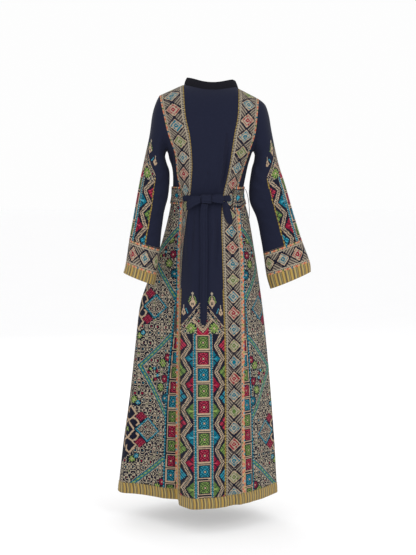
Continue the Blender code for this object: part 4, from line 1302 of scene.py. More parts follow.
class Paint:
    """A material and the few ways its nodes are made."""

    def __init__(self, name: str, roughness: float, sheen: float = 0.0) -> None:
        """Start a material with constants on its shader's own sockets.

        Args:
            name: its name.
            roughness: how dull it is.
            sheen: the weight of its sheen.
        """
        self.material = bpy.data.materials.new(name)
        self.material.use_nodes = True
        self.tree = self.material.node_tree
        self.shader = self.tree.nodes["Principled BSDF"]
        self.shader.inputs["Roughness"].default_value = roughness
        self.shader.inputs["Specular IOR Level"].default_value = 0.08
        if sheen:
            self.shader.inputs["Sheen Weight"].default_value = sheen
            self.shader.inputs["Sheen Roughness"].default_value = 0.5

    def node(self, kind: str, settings: dict, inputs: dict) -> bpy.types.Node:
        """Add a node to the material."""
        return add_node(self.tree, kind, settings, inputs)

    def value(self, kind: str, settings: dict, inputs: dict, output: object = 0) -> Value:
        """Add a node and wrap one of its outputs."""
        return Value(self, self.node(kind, settings, inputs).outputs[output])

    def noise(self, scale: float) -> Value:
        """Noise on the piece's own place.

        Args:
            scale: how fine it is.

        Returns:
            The noise, from 0 to 1.
        """
        place = self.node("ShaderNodeTexCoord", {}, {}).outputs["Object"]
        inputs = {"Vector": place, "Scale": scale, "Detail": 2.0}
        return self.value("ShaderNodeTexNoise", {}, inputs, "Fac")

    def threads(self, map_name: str) -> tuple[Value, Value]:
        """The piece's own stitch coordinates, across and along.

        Args:
            map_name: the map that holds them.

        Returns:
            The two coordinates.
        """
        chart = self.node("ShaderNodeUVMap", {"uv_map": map_name}, {})
        split = self.node("ShaderNodeSeparateXYZ", {}, {0: chart.outputs[0]})
        return Value(self, split.outputs[0]), Value(self, split.outputs[1])

    def plain(self, colour: tuple[float, float, float]) -> bpy.types.NodeSocket:
        """A plain colour.

        Args:
            colour: red, green and blue in linear light.

        Returns:
            The socket that gives it.
        """
        made = self.node("ShaderNodeRGB", {}, {})
        made.outputs[0].default_value = (*colour, 1.0)
        return made.outputs[0]

    def tint(self, colour: object, amount: Value) -> bpy.types.NodeSocket:
        """Multiply a colour by a number."""
        made = self.node("ShaderNodeVectorMath", {"operation": "SCALE"}, {0: colour, "Scale": amount})
        return made.outputs[0]

    def finish(self, colour: bpy.types.NodeSocket, height: Value, depth: float) -> bpy.types.Material:
        """Join the colour and the relief to the shader.

        Args:
            colour: the base colour.
            height: the relief, from 0 to 1.
            depth: its depth in metres.

        Returns:
            The material.
        """
        bump = self.node("ShaderNodeBump", {}, {"Height": height, "Strength": 0.8, "Distance": depth})
        self.tree.links.new(bump.outputs[0], self.shader.inputs["Normal"])
        self.tree.links.new(colour, self.shader.inputs["Base Color"])
        return self.material


CHART_MAP = "Chart"
THREAD_COLOUR = "ThreadColour"


@dataclass(frozen=True)
class StitchedCloth:
    """Crepe with cross stitches wherever the thread attribute says so, with painted light on the threads and
    painted shade in the gaps between stitches.
    """

    name: str = "stitched_crepe"
    roughness: float = 0.86
    sheen: float = 0.03

    def make(self) -> bpy.types.Material:
        """Build the material.

        Returns:
            The material.
        """
        paint = Paint(self.name, self.roughness, self.sheen)
        dyed = paint.node("ShaderNodeAttribute", {"attribute_name": THREAD_COLOUR}, {})
        stitched = Value(paint, dyed.outputs["Alpha"])
        u, v = paint.threads(CHART_MAP)
        fu, fv = u.call("FRACT"), v.call("FRACT")
        one = (fu - fv).call("ABSOLUTE")
        two = (fu + fv - 1.0).call("ABSOLUTE")
        cross = 1.0 - one.call("MINIMUM", two) * 2.6
        cross = cross.call("MAXIMUM", 0.0)
        grain = paint.noise(1400.0)
        slub = paint.noise(160.0)
        drift = paint.noise(9.0)
        relief = cross * stitched + grain * (1.0 - stitched) * 0.5
        # Painted light and shade: each stitch is lighter along its crossed threads and darker in the gaps
        # between stitches
        painted_stitch_shading = 0.70 + 0.36 * cross
        shade = (painted_stitch_shading * stitched + (1.0 - stitched)) * (0.86 + 0.20 * slub + 0.10 * drift)
        return paint.finish(paint.tint(dyed.outputs["Color"], shade), relief, 0.0006)


@dataclass(frozen=True)
class StripedBinding:
    """Woven binding with narrow lengthwise stripes of gold, ochre, brown and grey."""

    name: str = "striped_binding"
    repeat: float = 0.0250

    def make(self) -> bpy.types.Material:
        """Build the material.

        Returns:
            The material.
        """
        paint = Paint(self.name, 0.62, 0.1)
        u, _ = paint.threads(CHART_MAP)
        place = (u / self.repeat).call("FRACT")
        stops = [
            (0.00, linear((186, 156, 84))), (0.22, linear((118, 86, 52))), (0.30, linear((150, 134, 92))),
            (0.44, linear((98, 96, 86))), (0.53, linear((182, 160, 100))), (0.74, linear((126, 96, 56))),
            (0.83, linear((82, 84, 82))), (0.92, linear((146, 126, 80))),
        ]
        stripes = paint.node("ShaderNodeValToRGB", {"stops": stops}, {0: place})
        grain = paint.noise(700.0)
        shade = 0.60 + 0.20 * paint.noise(60.0) + 0.16 * grain
        return paint.finish(paint.tint(stripes.outputs[0], shade), grain, 0.0003)


@dataclass(frozen=True)
class PlainCloth:
    """Plain dull cloth for the sash, the collar and the sewing thread; the collar's is navy darkened by
    painted shadow.
    """

    name: str
    shade: tuple[int, int, int]
    roughness: float = 0.85
    grain: float = 1300.0

    def make(self) -> bpy.types.Material:
        """Build the material.

        Returns:
            The material.
        """
        paint = Paint(self.name, self.roughness, 0.03)
        base = paint.plain(linear(self.shade))
        grain = paint.noise(self.grain)
        shade = 0.84 + 0.20 * paint.noise(120.0) + 0.12 * grain
        return paint.finish(paint.tint(base, shade), grain, 0.0004)


@dataclass
class Shell:
    """A thin closed shell of cloth on a solid, from a grid of outer points."""

    node: str
    grid: np.ndarray
    closed: bool = False
    flip: bool = False
    thickness: float = SKIN
    threads: np.ndarray | None = None
    chart: tuple[np.ndarray, np.ndarray] | None = None

    def faces(self) -> tuple[np.ndarray, list[list[int]], np.ndarray]:
        """Number the corners of every face.

        Returns:
            The outer quads, the rims and lining faces, and which outer points the lining keeps.
        """
        rows, columns = self.grid.shape[:2]
        n, m = rows - 1, columns - (0 if self.closed else 1)
        index = np.arange(rows * columns).reshape(rows, columns)
        i, j = cells_of(n, m)
        k = (j + 1) % columns
        quads = np.stack([index[i, j], index[i, k], index[i + 1, k], index[i + 1, j]], -1).reshape(-1, 4)
        kept = index[::COARSE, ::COARSE]
        deep = rows * columns + np.arange(kept.size).reshape(kept.shape)
        a, b = kept.shape
        wide = b if self.closed else b - 1
        rest: list[list[int]] = []
        for p in range(a - 1):
            for q in range(wide):
                r = (q + 1) % b
                rest.append([deep[p, q], deep[p + 1, q], deep[p + 1, r], deep[p, r]])
        for q in range(wide):
            r = (q + 1) % b
            span = [(COARSE * q + s) % columns for s in range(COARSE + 1)]
            rest.append([index[0, s] for s in reversed(span)] + [deep[0, q], deep[0, r]])
            rest.append([index[-1, s] for s in span] + [deep[-1, r], deep[-1, q]])
        if not self.closed:
            for p in range(a - 1):
                span = [COARSE * p + s for s in range(COARSE + 1)]
                rest.append([index[s, 0] for s in span] + [deep[p + 1, 0], deep[p, 0]])
                rest.append([index[s, -1] for s in reversed(span)] + [deep[p, -1], deep[p + 1, -1]])
        return quads, rest, kept.reshape(-1)

    def lay(self, material: bpy.types.Material, rests: list) -> None:
        """Make the piece and give it to the frame in place of its solid.

        Args:
            material: its finish.
            rests: what it hangs from or lies on; not used.
        """
        width, length, area = flat_size(self.grid, self.closed)
        made = self.make(material)
        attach(made, "root")
        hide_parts(self.node)
        faces = len(made.data.polygons)
        log.info("%s: cut %.3f x %.3f m, %.4f m2, %d faces", made.name, width, length, area, faces)

    def make(self, material: bpy.types.Material) -> bpy.types.Object:
        """Build the mesh with its colours and its chart.

        Args:
            material: the finish of the piece.

        Returns:
            The object, at the origin.
        """
        if self.flip:
            self.grid = self.grid[:, ::-1]
            if self.closed:
                self.grid = np.roll(self.grid, 1, axis=1)
            if self.threads is not None:
                self.threads = self.threads[:, ::-1]
            if self.chart is not None:
                self.chart = (self.chart[0][:, ::-1], self.chart[1][:, ::-1])
        quads, rest, kept = self.faces()
        outer = self.grid.reshape(-1, 3)
        inner = (self.grid - outward(self.grid, self.closed) * self.thickness).reshape(-1, 3)[kept]
        points = np.concatenate([outer, inner])
        loops = np.concatenate([quads.reshape(-1), np.concatenate([np.array(f) for f in rest])])
        sizes = np.concatenate([np.full(len(quads), 4), np.array([len(f) for f in rest])])
        mesh = bpy.data.meshes.new(self.node + "_cloth")
        mesh.vertices.add(len(points))
        mesh.vertices.foreach_set("co", points.astype(np.float32).reshape(-1))
        mesh.loops.add(len(loops))
        mesh.loops.foreach_set("vertex_index", loops.astype(np.int32))
        mesh.polygons.add(len(sizes))
        starts = np.concatenate([[0], np.cumsum(sizes)[:-1]])
        mesh.polygons.foreach_set("loop_start", starts.astype(np.int32))
        mesh.update(calc_edges=True)
        self.dye(mesh, len(quads), len(loops))
        mesh.polygons.foreach_set("use_smooth", np.ones(len(sizes), bool))
        mesh.set_sharp_from_angle(angle=SHARP_ANGLE)
        mesh.materials.append(material)
        return add_object(mesh.name, mesh)

    def dye(self, mesh: bpy.types.Mesh, quads: int, loops: int) -> None:
        """Paint the thread of each cell and lay its chart.

        Args:
            mesh: the mesh.
            quads: how many outer cells it has.
            loops: how many face corners it has.
        """
        random = np.random.default_rng(len(mesh.name) * 7 + quads)
        shades = np.array([linear(SHADES[t]) for t in Thread])
        shades[Thread.BEIGE:Thread.LINING] *= DYE_STRENGTH
        threads = np.zeros(quads, int) if self.threads is None else self.threads.reshape(-1).astype(int)
        spread = np.where(threads == Thread.CREPE, PLAIN_VARIATION, THREAD_VARIATION)
        wobble = 1.0 + random.normal(0.0, 1.0, quads) * spread
        colour = np.ones((loops, 4))
        colour[:, :3] = shades[Thread.LINING]
        colour[:, 3] = 0.0
        colour[: quads * 4, :3] = np.repeat(shades[threads] * wobble[:, None], 4, axis=0)
        colour[: quads * 4, 3] = np.repeat((threads != Thread.CREPE).astype(float), 4)
        layer = mesh.color_attributes.new(THREAD_COLOUR, "FLOAT_COLOR", "CORNER")
        layer.data.foreach_set("color", colour.astype(np.float32).reshape(-1))
        chart = mesh.uv_layers.new(name=CHART_MAP)
        rows, columns = self.grid.shape[0] - 1, self.grid.shape[1] - (0 if self.closed else 1)
        u, v = self.chart or np.meshgrid(np.arange(columns + 1), np.arange(rows + 1))
        corners = np.stack([np.stack([u[b:rows + b, a:columns + a], v[b:rows + b, a:columns + a]], -1)
                            for a, b in ((0, 0), (1, 0), (1, 1), (0, 1))], axis=2)
        flat = np.zeros((loops, 2))
        flat[: quads * 4] = corners.reshape(-1, 2)
        chart.data.foreach_set("uv", flat.astype(np.float32).reshape(-1))


def flat_size(grid: np.ndarray, closed: bool = False) -> tuple[float, float, float]:
    """The size a grid of cloth was cut to.

    Args:
        grid: the rows of points.
        closed: whether it is sewn into a tube.

    Returns:
        The width, the length and the area.
    """
    grid = joined(grid) if closed else grid
    width = float(lengths(grid)[:, -1].max())
    length = float(lengths(grid.transpose(1, 0, 2))[:, -1].max())
    a, b = grid[1:, 1:] - grid[:-1, :-1], grid[1:, :-1] - grid[:-1, 1:]
    area = float(np.linalg.norm(np.cross(a, b), axis=-1).sum() / 2)
    return width, length, area


@dataclass
class Body:
    """The panels of the body from shoulder to hem."""

    cloth: bpy.types.Material
    binding: bpy.types.Material
    centre_cells: int = 56
    band_cells: int = 28
    side_cells: int = 88
    bodice_cells: int = 72
    bodice_step: float = 0.0035
    hem_cells: int = 260
    hem_rows: int = 12
    hem_lift: float = 0.0006
    hem_roll: float = 0.0012
    design_start: float = 0.585
    design_z: float = -0.69
    middle_x: float = 0.0195
    middle_lean: float = 0.0155
    middle_limits: tuple[float, float] = (0.009, 0.024)
    fine: int = 900
    first_diamond: dict[str, float] = field(default_factory=lambda: {
        "back_band_left": 10.5, "back_band_right": 20.7, "front_band_left": 12.0, "front_band_right": 12.0,
    })

    def panel(
        self, first: float, last: float, drops: np.ndarray, cells: int, level: bool = False,
    ) -> np.ndarray:
        """A grid of points between two columns.

        Args:
            first: the first column.
            last: the last column.
            drops: the drops of its rows.
            cells: how many cells each row gets.
            level: whether the cells are even as seen from behind, about the design's middle line.

        Returns:
            The rows of points.
        """
        fine = np.linspace(first, last, cells * 2 + 1)
        c, d = np.meshgrid(fine, drops)
        points = FORM.dressed(c, d, first, last)
        if not level:
            return even(points, cells)
        x, z = points[..., 0], points[:, :1, 2]
        middle = np.clip(self.middle_x + self.middle_lean * (z + DESIGN.first_square), *self.middle_limits)
        half = cells / 2
        left = half + half * (x - middle) / (x[:, -1:] - middle)
        right = half * (x - x[:, :1]) / (middle - x[:, :1])
        run = np.maximum.accumulate(np.where(x > middle, left, right), axis=1)
        return even(points, cells, run)

    def drops(self, c: float, first: float, last: float, step: float) -> np.ndarray:
        """Drops whose steps along the cloth are even, for the middle column of a panel.

        Args:
            c: the column.
            first: the first drop.
            last: the last drop.
            step: about how long a cell is.

        Returns:
            The drops.
        """
        fine = np.linspace(first, last, self.fine)
        run = lengths(FORM.point(np.full(self.fine, c), fine))
        cells = whole(run[-1], step)
        return np.interp(np.linspace(0.0, run[-1], cells + 1), run, fine)

    def centre(self, node: str, first: float, last: float, rests: list) -> None:
        """The middle panel of the back or the front, plain above and stitched below.

        Args:
            node: the solid that it stands for.
            first: its first column.
            last: its last column.
            rests: what it hangs from.
        """
        middle = (first + last) / 2
        plain = self.drops(middle, -1.0, self.design_start, PLAIN_STEP)
        rich = self.drops(middle, self.design_start, HEM_SEAM, STITCH)
        drops = np.concatenate([plain, rich[1:]])
        grid = self.panel(first, last, drops, self.centre_cells, node == "back_centre")
        cell_z = cell_heights(grid)
        x = np.abs(np.arange(self.centre_cells) + 0.5 - self.centre_cells / 2)
        threads = DESIGN.centre(np.broadcast_to(x, cell_z.shape), -cell_z)
        threads = np.where(cell_z > self.design_z, Thread.CREPE, threads)
        Shell(node, grid, threads=threads).lay(self.cloth, rests)

    def band(self, node: str, first: float, last: float, rests: list) -> None:
        """A lattice band from the shoulder to the hem, with its gold line towards the middle.

        Args:
            node: the solid that it stands for.
            first: its first column.
            last: its last column.
            rests: what it hangs from.
        """
        drops = self.drops((first + last) / 2, -1.0, HEM_SEAM, STITCH)
        grid = self.panel(first, last, drops, self.band_cells)
        i, j = cells_of(len(drops) - 1, self.band_cells)
        gold_first = abs(wrap(first)) in (1.0, 5.0)
        threads = DESIGN.band(j if gold_first else self.band_cells - 1 - j, i, self.first_diamond[node])
        Shell(node, grid, threads=threads).lay(self.cloth, rests)

    def side(self, node: str, first: float, last: float, rests: list) -> None:
        """A quarter of the skirt's side, stitched all over.

        Args:
            node: the solid that it stands for.
            first: its first column.
            last: its last column.
            rests: what it hangs from.
        """
        drops = self.drops((first + last) / 2, WAIST, HEM_SEAM, STITCH)
        grid = self.panel(first, last, drops, self.side_cells)
        run = lengths(grid)
        peach_first = abs(wrap(last)) == SIDE_COLUMN
        s = middles(run) if peach_first else run[:-1, -1:] - middles(run)
        threads = DESIGN.side(s, cell_heights(grid))
        Shell(node, grid, threads=threads).lay(self.cloth, rests)

    def bodice(self, node: str, first: float, last: float, rests: list) -> None:
        """A plain side of the bodice below the underarm.

        Args:
            node: the solid that it stands for.
            first: its first column.
            last: its last column.
            rests: what it hangs from.
        """
        drops = self.drops((first + last) / 2, UNDERARM, WAIST, self.bodice_step)
        grid = self.panel(first, last, drops, self.bodice_cells)
        Shell(node, grid).lay(self.cloth, rests)

    def hem(self, node: str, first: float, last: float, rests: list) -> None:
        """The striped binding along the hem.

        Args:
            node: the solid that it stands for.
            first: its first column.
            last: its last column.
            rests: what it hangs from.
        """
        drops = np.linspace(HEM_SEAM, HEM_END, self.hem_rows + 1)
        c, d = np.meshgrid(np.linspace(first, last, self.hem_cells * 2 + 1), drops)
        grid = FORM.dressed(c, d)
        normals = FORM.normal(c, d)
        share = (d - HEM_SEAM) / (HEM_END - HEM_SEAM)
        roll = self.hem_roll * np.sin(math.pi * share) + self.hem_lift
        grid = even(grid + normals * roll[..., None], self.hem_cells)
        run = lengths(grid)
        height = np.broadcast_to((drops - HEM_SEAM)[:, None], run.shape)
        shell = Shell(node, grid, chart=(run, height), thickness=BINDING_SKIN)
        shell.lay(self.binding, rests)

    def build(self) -> None:
        """Make every panel of the body."""
        self.centre("back_centre", -1.0, 1.0, [])
        self.centre("front_centre", 5.0, 7.0, [])
        self.band("back_band_left", 1.0, 2.0, ["back_centre"])
        self.band("back_band_right", -2.0, -1.0, ["back_centre"])
        self.band("front_band_left", 4.0, 5.0, ["front_centre"])
        self.band("front_band_right", -5.0, -4.0, ["front_centre"])
        self.bodice("bodice_side_left", 2.0, 4.0, ["back_band_left"])
        self.bodice("bodice_side_right", -4.0, -2.0, ["back_band_right"])
        self.side("skirt_side_back_left", 2.0, 3.0, ["bodice_side_left"])
        self.side("skirt_side_back_right", -3.0, -2.0, ["bodice_side_right"])
        self.side("skirt_side_front_left", 3.0, 4.0, ["bodice_side_left"])
        self.side("skirt_side_front_right", -4.0, -3.0, ["bodice_side_right"])
        self.hem("hem_binding_back", -3.0, 3.0, ["back_centre"])
        self.hem("hem_binding_front", 3.0, 9.0, ["front_centre"])


@dataclass
class Sleeve:
    """One sleeve with its stitched strip, its cuff and its binding."""

    side: str
    cloth: bpy.types.Material
    binding: bpy.types.Material
    cells: int = 152
    cuff_cells: int = 120
    strip_start: float = 0.165
    strip_turn: tuple[float, float] = (0.015, 0.006)
    strip_half: float = 27.6
    gold_edge: float = 26.4
    plain_above: float = 0.69
    cuff_start: float = -9.6
    cuff_stitches: float = 28.0
    cuff_pitch: float = 17.0
    step: float = 0.0030
    binding_step: float = 0.0034
    binding_round: float = 0.336
    binding_width: float = 0.036
    calm_rows: float = 14.0
    fine: int = 12
    samples: int = 240

    def controls(self) -> tuple[np.ndarray, np.ndarray]:
        """The control points of the sleeve and the columns and drops of its armhole.

        Returns:
            The rings of points, and a column and a drop for each point of the first ring.
        """
        sign = 1.0 if self.side == "left" else -1.0
        back = [(sign * 2.0, d) for d in YOKE_ROWS]
        under = [(sign * c, UNDERARM) for c in np.linspace(2.0, 4.0, UNDERARM_STEPS + 1)[1:-1]]
        front = [(sign * 4.0, d) for d in reversed(YOKE_ROWS)][:-1]
        edge = np.array(back + under + front)
        first = FORM.point(edge[:, 0], edge[:, 1])
        count = len(edge)
        rows = [first]
        for k, ring in enumerate(SLEEVES[self.side]):
            turn = self.angles(k, count)
            inner, outer = np.array([ring.in_x, 0, ring.in_z]), np.array([ring.out_x, 0, ring.out_z])
            middle = (inner + outer) / 2 + np.array([0, ring.y, 0])
            line = middle + np.cos(turn)[:, None] * (outer - inner) / 2
            line = line + np.sin(turn)[:, None] * np.array([0, ring.depth, 0])
            if k < BLEND_RINGS:
                share = ((k + 1) / (BLEND_RINGS + 1)) ** BLEND_POWER
                mix = share + (1 - share) * np.abs(np.cos(turn))[:, None] ** 2
                line = first + (line - first) * mix
            rows.append(line)
        return np.array(rows), edge

    @staticmethod
    def angles(k: int, count: int) -> np.ndarray:
        """Where the points of a ring lie round it.

        Args:
            k: which ring it is.
            count: how many points it has.

        Returns:
            Their angles in radians.
        """
        share = ARMHOLE_SHARE + (CUFF_SHARE - ARMHOLE_SHARE) * float(smooth(np.array(k / SPACING_RINGS)))
        back = len(YOKE_ROWS) - 1
        i = np.arange(count)
        turn = np.where(i <= back, share * i / back,
                        np.where(i <= back + UNDERARM_STEPS,
                                 share + (360 - 2 * share) * (i - back) / UNDERARM_STEPS,
                                 360 - share * (count - i) / back))
        return np.radians(turn)

    def grid(self, first: float, last: float, step: float, cells: int) -> np.ndarray:
        """A finer grid of the sleeve between two rings, spread evenly round.

        Args:
            first: the ring it starts at.
            last: the ring it ends at.
            step: the height of a cell.
            cells: how many cells go round.

        Returns:
            The points, without the last column that closes the tube.
        """
        rows, edge = self.controls()
        places = np.linspace(first, last, self.samples)
        run = lengths(curve(rows[:, 0], places))
        count = whole(run[-1], step)
        places = np.interp(np.linspace(0.0, run[-1], count + 1), run, places)
        round_places = np.arange(len(edge) * self.fine) / self.fine
        along = curve(rows, places)
        fine = np.array([curve(row, round_places, closed=True) for row in along])
        ends = np.concatenate([edge, [[edge[-1, 0], -1.0]]])
        c = np.interp(round_places, np.arange(len(ends)), ends[:, 0])
        d = np.interp(round_places, np.arange(len(ends)), ends[:, 1])
        hole = FORM.point(c, d)
        fade = np.clip(1.0 - places, 0.0, 1.0)[:, None, None] ** 2
        fine = fine + (hole - curve(rows[0], round_places, closed=True)) * fade
        return even(joined(fine), cells)[:, :-1]

    def outside(self, grid: np.ndarray) -> np.ndarray:
        """The outward directions of a grid of the sleeve."""
        return outward(grid, True) * (-1.0 if self.side == "left" else 1.0)

    def creased(self, grid: np.ndarray) -> np.ndarray:
        """The grid with its creases, which die away at the armhole.

        Args:
            grid: the smooth grid.

        Returns:
            The creased grid.
        """
        normals = self.outside(grid)
        lift = crease_lift(SLEEVE_CREASES, grid, normals)
        calm = smooth(np.arange(len(grid)) / self.calm_rows)[:, None]
        return grid + normals * (lift * calm)[..., None]

    def strip(self, grid: np.ndarray) -> np.ndarray:
        """The threads of the stitched strip along the back of the sleeve.

        Args:
            grid: the points of the sleeve.

        Returns:
            The thread of each cell.
        """
        around = lengths(joined(grid))
        s, total = middles(around), around[:-1, -1:]
        turned = np.linspace(*self.strip_turn, len(s))[:, None]
        x = np.abs(np.where(s < total / 2, s, s - total) - turned) / STITCH
        down = lengths(grid[:, :1].transpose(1, 0, 2))[0]
        drop = (down[:-1] + down[1:]) / 2 - self.strip_start + DESIGN.tent_top
        drop = np.broadcast_to(drop[:, None], x.shape)
        threads = DESIGN.centre(np.minimum(x, self.strip_half + 0.3), drop, self.gold_edge)
        threads = np.where((x > self.strip_half) | (drop < self.plain_above), Thread.CREPE, threads)
        gold = (x > self.gold_edge) & (x < self.strip_half)
        return np.where(gold & (drop < DESIGN.tent_foot), Thread.CREPE, threads)

    def build(self) -> None:
        """Make the sleeve, the cuff and the binding."""
        side, tube = self.side, {"closed": True, "flip": self.side == "left"}
        grid = self.creased(self.grid(0.0, CUFF_RING, self.step, self.cells))
        shell = Shell("sleeve_" + side, grid, threads=self.strip(grid), **tube)
        shell.lay(self.cloth, ["back_band_" + side])
        grid = self.grid(CUFF_RING, BINDING_RING, self.step, self.cuff_cells)
        rows = len(grid) - 1
        i, j = cells_of(rows, self.cuff_cells)
        pitch = self.cuff_cells / round(self.cuff_cells / self.cuff_pitch)
        threads = DESIGN.band((i + 0.5) * self.cuff_stitches / rows, j, self.cuff_start, pitch, Thread.PEACH)
        shell = Shell("cuff_" + side, grid, threads=threads, **tube)
        shell.lay(self.cloth, ["sleeve_" + side])
        grid = self.grid(BINDING_RING, BINDING_RING + 1, self.binding_step, self.cuff_cells)
        run = lengths(joined(grid))
        run = run / run[:, -1:] * self.binding_round
        height = np.broadcast_to(np.linspace(0, self.binding_width, len(grid))[:, None], run.shape)
        shell = Shell("cuff_binding_" + side, grid, chart=(run, height), thickness=BINDING_SKIN, **tube)
        shell.lay(self.binding, ["cuff_" + side])


@dataclass
class Collar:
    """The low stand collar, navy cloth darkened to near black by painted shadow."""

    cloth: bpy.types.Material
    cells: int = 160
    rows: int = 12
    swell: float = 0.0008

    def build(self) -> None:
        """Make the collar from the neckline up."""
        half = self.cells // 2 + 1
        loop = np.concatenate([np.linspace(-1.0, 1.0, half)[:-1], np.linspace(5.0, 7.0, half)[:-1]])
        base = FORM.point(loop, np.full(loop.shape, -1.0))
        inward = base.mean(axis=0) - base
        inward[:, 2] = 0.0
        inward = unit(inward)
        rows = []
        for share in np.linspace(1.0, 0.0, self.rows + 1):
            swell = self.swell * math.sin(math.pi * share)
            up = np.array([0.0, 0.0, COLLAR_HEIGHT * share])
            rows.append(base + up + inward * (COLLAR_LEAN * share - swell))
        grid = even(joined(np.array(rows)), self.cells)[:, :-1]
        shell = Shell("collar", grid, closed=True, thickness=BINDING_SKIN)
        shell.lay(self.cloth, ["back_centre", "front_centre"])


@dataclass
class Sash:
    """The belt and the tied sash at the back waist."""

    cloth: bpy.types.Material
    plain: bpy.types.Material
    belt_rows: int = 24
    belt_cells: int = 224
    folds: int = 3
    fold_height: float = 0.007
    dip: float = 0.020
    belt_lift: float = 0.0006
    left_bunch: tuple[float, float, float] = (2.9, 0.9, 0.6)
    right_bunch: tuple[float, float] = (8.9, 1.2)
    dip_place: tuple[float, float] = (9.0, 1.3)
    slant: tuple[float, float] = (0.18, 5.0)
    ripple: tuple[float, float] = (5.2, 0.0009)
    wave: tuple[float, float, float] = (0.0011, 7.3, 3.0)
    twist: float = 0.9
    ridge_swell: tuple[float, float, float] = (0.80, 0.20, 0.05)
    end_power: int = 14
    end_least: float = 0.02
    tail_bend: tuple[float, float] = (1.2, 1.4)
    tail_cross: tuple[float, float, float] = (0.45, 1.7, 2.1)
    tail_arch: float = 0.0016
    tape_arch: float = 0.0006
    bundle_rows: int = 41
    bundle_cells: int = 64
    bundle_skin: float = 0.0008
    tail_rows: int = 97
    tail_cells: int = 24
    tail_skin: float = 0.0013
    tape_rows: int = 49
    tape_half: float = 0.0035
    tape_skin: float = 0.0012

    def belt(self) -> None:
        """The embroidered belt, bunched in soft folds where its ties begin."""
        c = np.linspace(BELT_START, BELT_END, self.belt_cells * 2 + 1)
        share = np.linspace(0.0, 1.0, self.belt_rows + 1)[:, None]
        (end, reach, share_left), (start, rise) = self.left_bunch, self.right_bunch
        bunch = smooth((end - c) / reach) * share_left + smooth((c - start) / rise)
        low = BELT_LOW + self.dip * smooth((c - self.dip_place[0]) / self.dip_place[1])
        drop = BELT_TOP + (low - BELT_TOP) * share
        c = np.broadcast_to(c, drop.shape)
        fold = 0.5 - 0.5 * np.cos(2 * math.pi * self.folds * share)
        slant = self.slant[0] * np.sin(c * self.slant[1]) * bunch
        small = np.sin(2 * math.pi * (self.ripple[0] * share + slant)) * self.ripple[1] * bunch
        height, pace, lean = self.wave
        wave = height * np.sin(c * pace + lean * share) * (1.0 - np.clip(bunch, 0, 1))
        lift = BELT_OFFSET + WALL + bunch * fold * self.fold_height + small + wave + self.belt_lift
        normals = FORM.normal(c, drop)
        grid = FORM.point(c, drop) + normals * lift[..., None]
        grid = even(grid, self.belt_cells)
        i, j = cells_of(self.belt_rows, self.belt_cells)
        shell = Shell("belt", grid, threads=DESIGN.belt(j, i, self.belt_rows))
        shell.lay(self.cloth, ["front_centre"])

    @staticmethod
    def spine(stops: list, count: int) -> tuple[np.ndarray, np.ndarray, np.ndarray, np.ndarray]:
        """The middle line of a sash piece.

        Args:
            stops: its sections.
            count: how many rows it gets.

        Returns:
            The line, the outward directions, the half sizes and the directions along it.
        """
        placed = np.array([FORM.over(stop) for stop in stops])
        sizes = np.array([(stop.half_width, stop.half_depth) for stop in stops])
        places = np.linspace(0, len(stops) - 1, count)
        line = curve(placed[:, 0], places)
        return line, unit(curve(placed[:, 1], places)), curve(sizes, places), unit(np.gradient(line, axis=0))

    def bundle(self, name: str, stops: list, pleats: int, phase: float) -> None:
        """A gathered bundle of sash cloth with lengthwise pleats.

        Args:
            name: the solid's name.
            stops: its sections.
            pleats: how many pleats go round it.
            phase: where they start.
        """
        line, face, size, along = self.spine(stops, self.bundle_rows)
        across = unit(np.cross(face, along))
        turn = np.linspace(0, 2 * math.pi, self.bundle_cells + 1)[:-1]
        drift = np.linspace(0, 1, self.bundle_rows)[:, None]
        ridge = np.abs(np.cos(turn * pleats / 2 + phase + self.twist * drift * np.sin(turn * 2 + phase)))
        least, high, rough = self.ridge_swell
        swell = least + high * ridge + rough * np.sin(3 * turn + 4 * drift)
        close = np.sqrt(np.clip(1 - np.abs(2 * drift - 1) ** self.end_power, self.end_least, 1))
        grid = (line[:, None] + across[:, None] * (np.cos(turn) * size[:, :1] * swell * close)[..., None]
                + face[:, None] * (np.sin(turn) * size[:, 1:] * swell * close)[..., None])
        middle = self.bundle_rows // 2
        flip = float(np.cross(across[middle], face[middle]) @ along[middle]) < 0
        shell = Shell(name, grid, closed=True, flip=flip, thickness=self.bundle_skin)
        shell.lay(self.plain, ["back_centre"])

    def tail(self, name: str, stops: list, pleats: float, depth: float) -> None:
        """A band of sash cloth along its middle line.

        Args:
            name: the solid's name.
            stops: its sections.
            pleats: how many lengthwise pleats it has.
            depth: how deep they are.
        """
        line, out, size, along = self.spine(stops, self.tail_rows)
        if name.startswith("bow"):
            down = unit(out * out[:, 2:] - np.array([0.0, 0.0, 1.0]))
        else:
            down = unit(np.cross(out, along))
        face = unit(np.cross(along, down))
        if name == "bow_loop_right":
            face = -face
        share = np.linspace(-1.0, 1.0, self.tail_cells + 1)
        run = np.linspace(0, 1, self.tail_rows)[:, None]
        (start, drift), (part, more, back) = self.tail_bend, self.tail_cross
        bend = np.sin(pleats * math.pi * share + start + drift * run)
        bend = bend + part * np.sin((pleats + more) * math.pi * share - back * run)
        lift = bend * depth + self.tail_arch * np.cos(share * math.pi / 2)
        wide = share * size[:, :1]
        grid = line[:, None] + down[:, None] * wide[..., None] + face[:, None] * lift[..., None]
        row, column = self.tail_rows // 2, self.tail_cells // 2
        here = grid[row, column]
        flip = float(np.cross(grid[row, column + 1] - here, grid[row + 1, column] - here) @ face[row]) < 0
        shell = Shell(name, grid, flip=flip, thickness=self.tail_skin)
        shell.lay(self.plain, ["sash_knot"])

    def tape(self) -> None:
        """The narrow tape at the side of the waist."""
        points = curve(np.array(SIDE_TAPE), np.linspace(0, len(SIDE_TAPE) - 1, self.tape_rows))
        along = unit(np.gradient(points, axis=0))
        across = np.array([0.0, 1.0, 0.0])
        face = unit(np.cross(along, across))
        share = np.linspace(-1, 1, 9)
        grid = (points[:, None] + across * (share * self.tape_half)[:, None]
                + face[:, None] * (self.tape_arch * (1 - share ** 2))[:, None])
        shell = Shell("side_tape", grid, thickness=self.tape_skin)
        shell.lay(self.plain, ["bodice_side_right"])

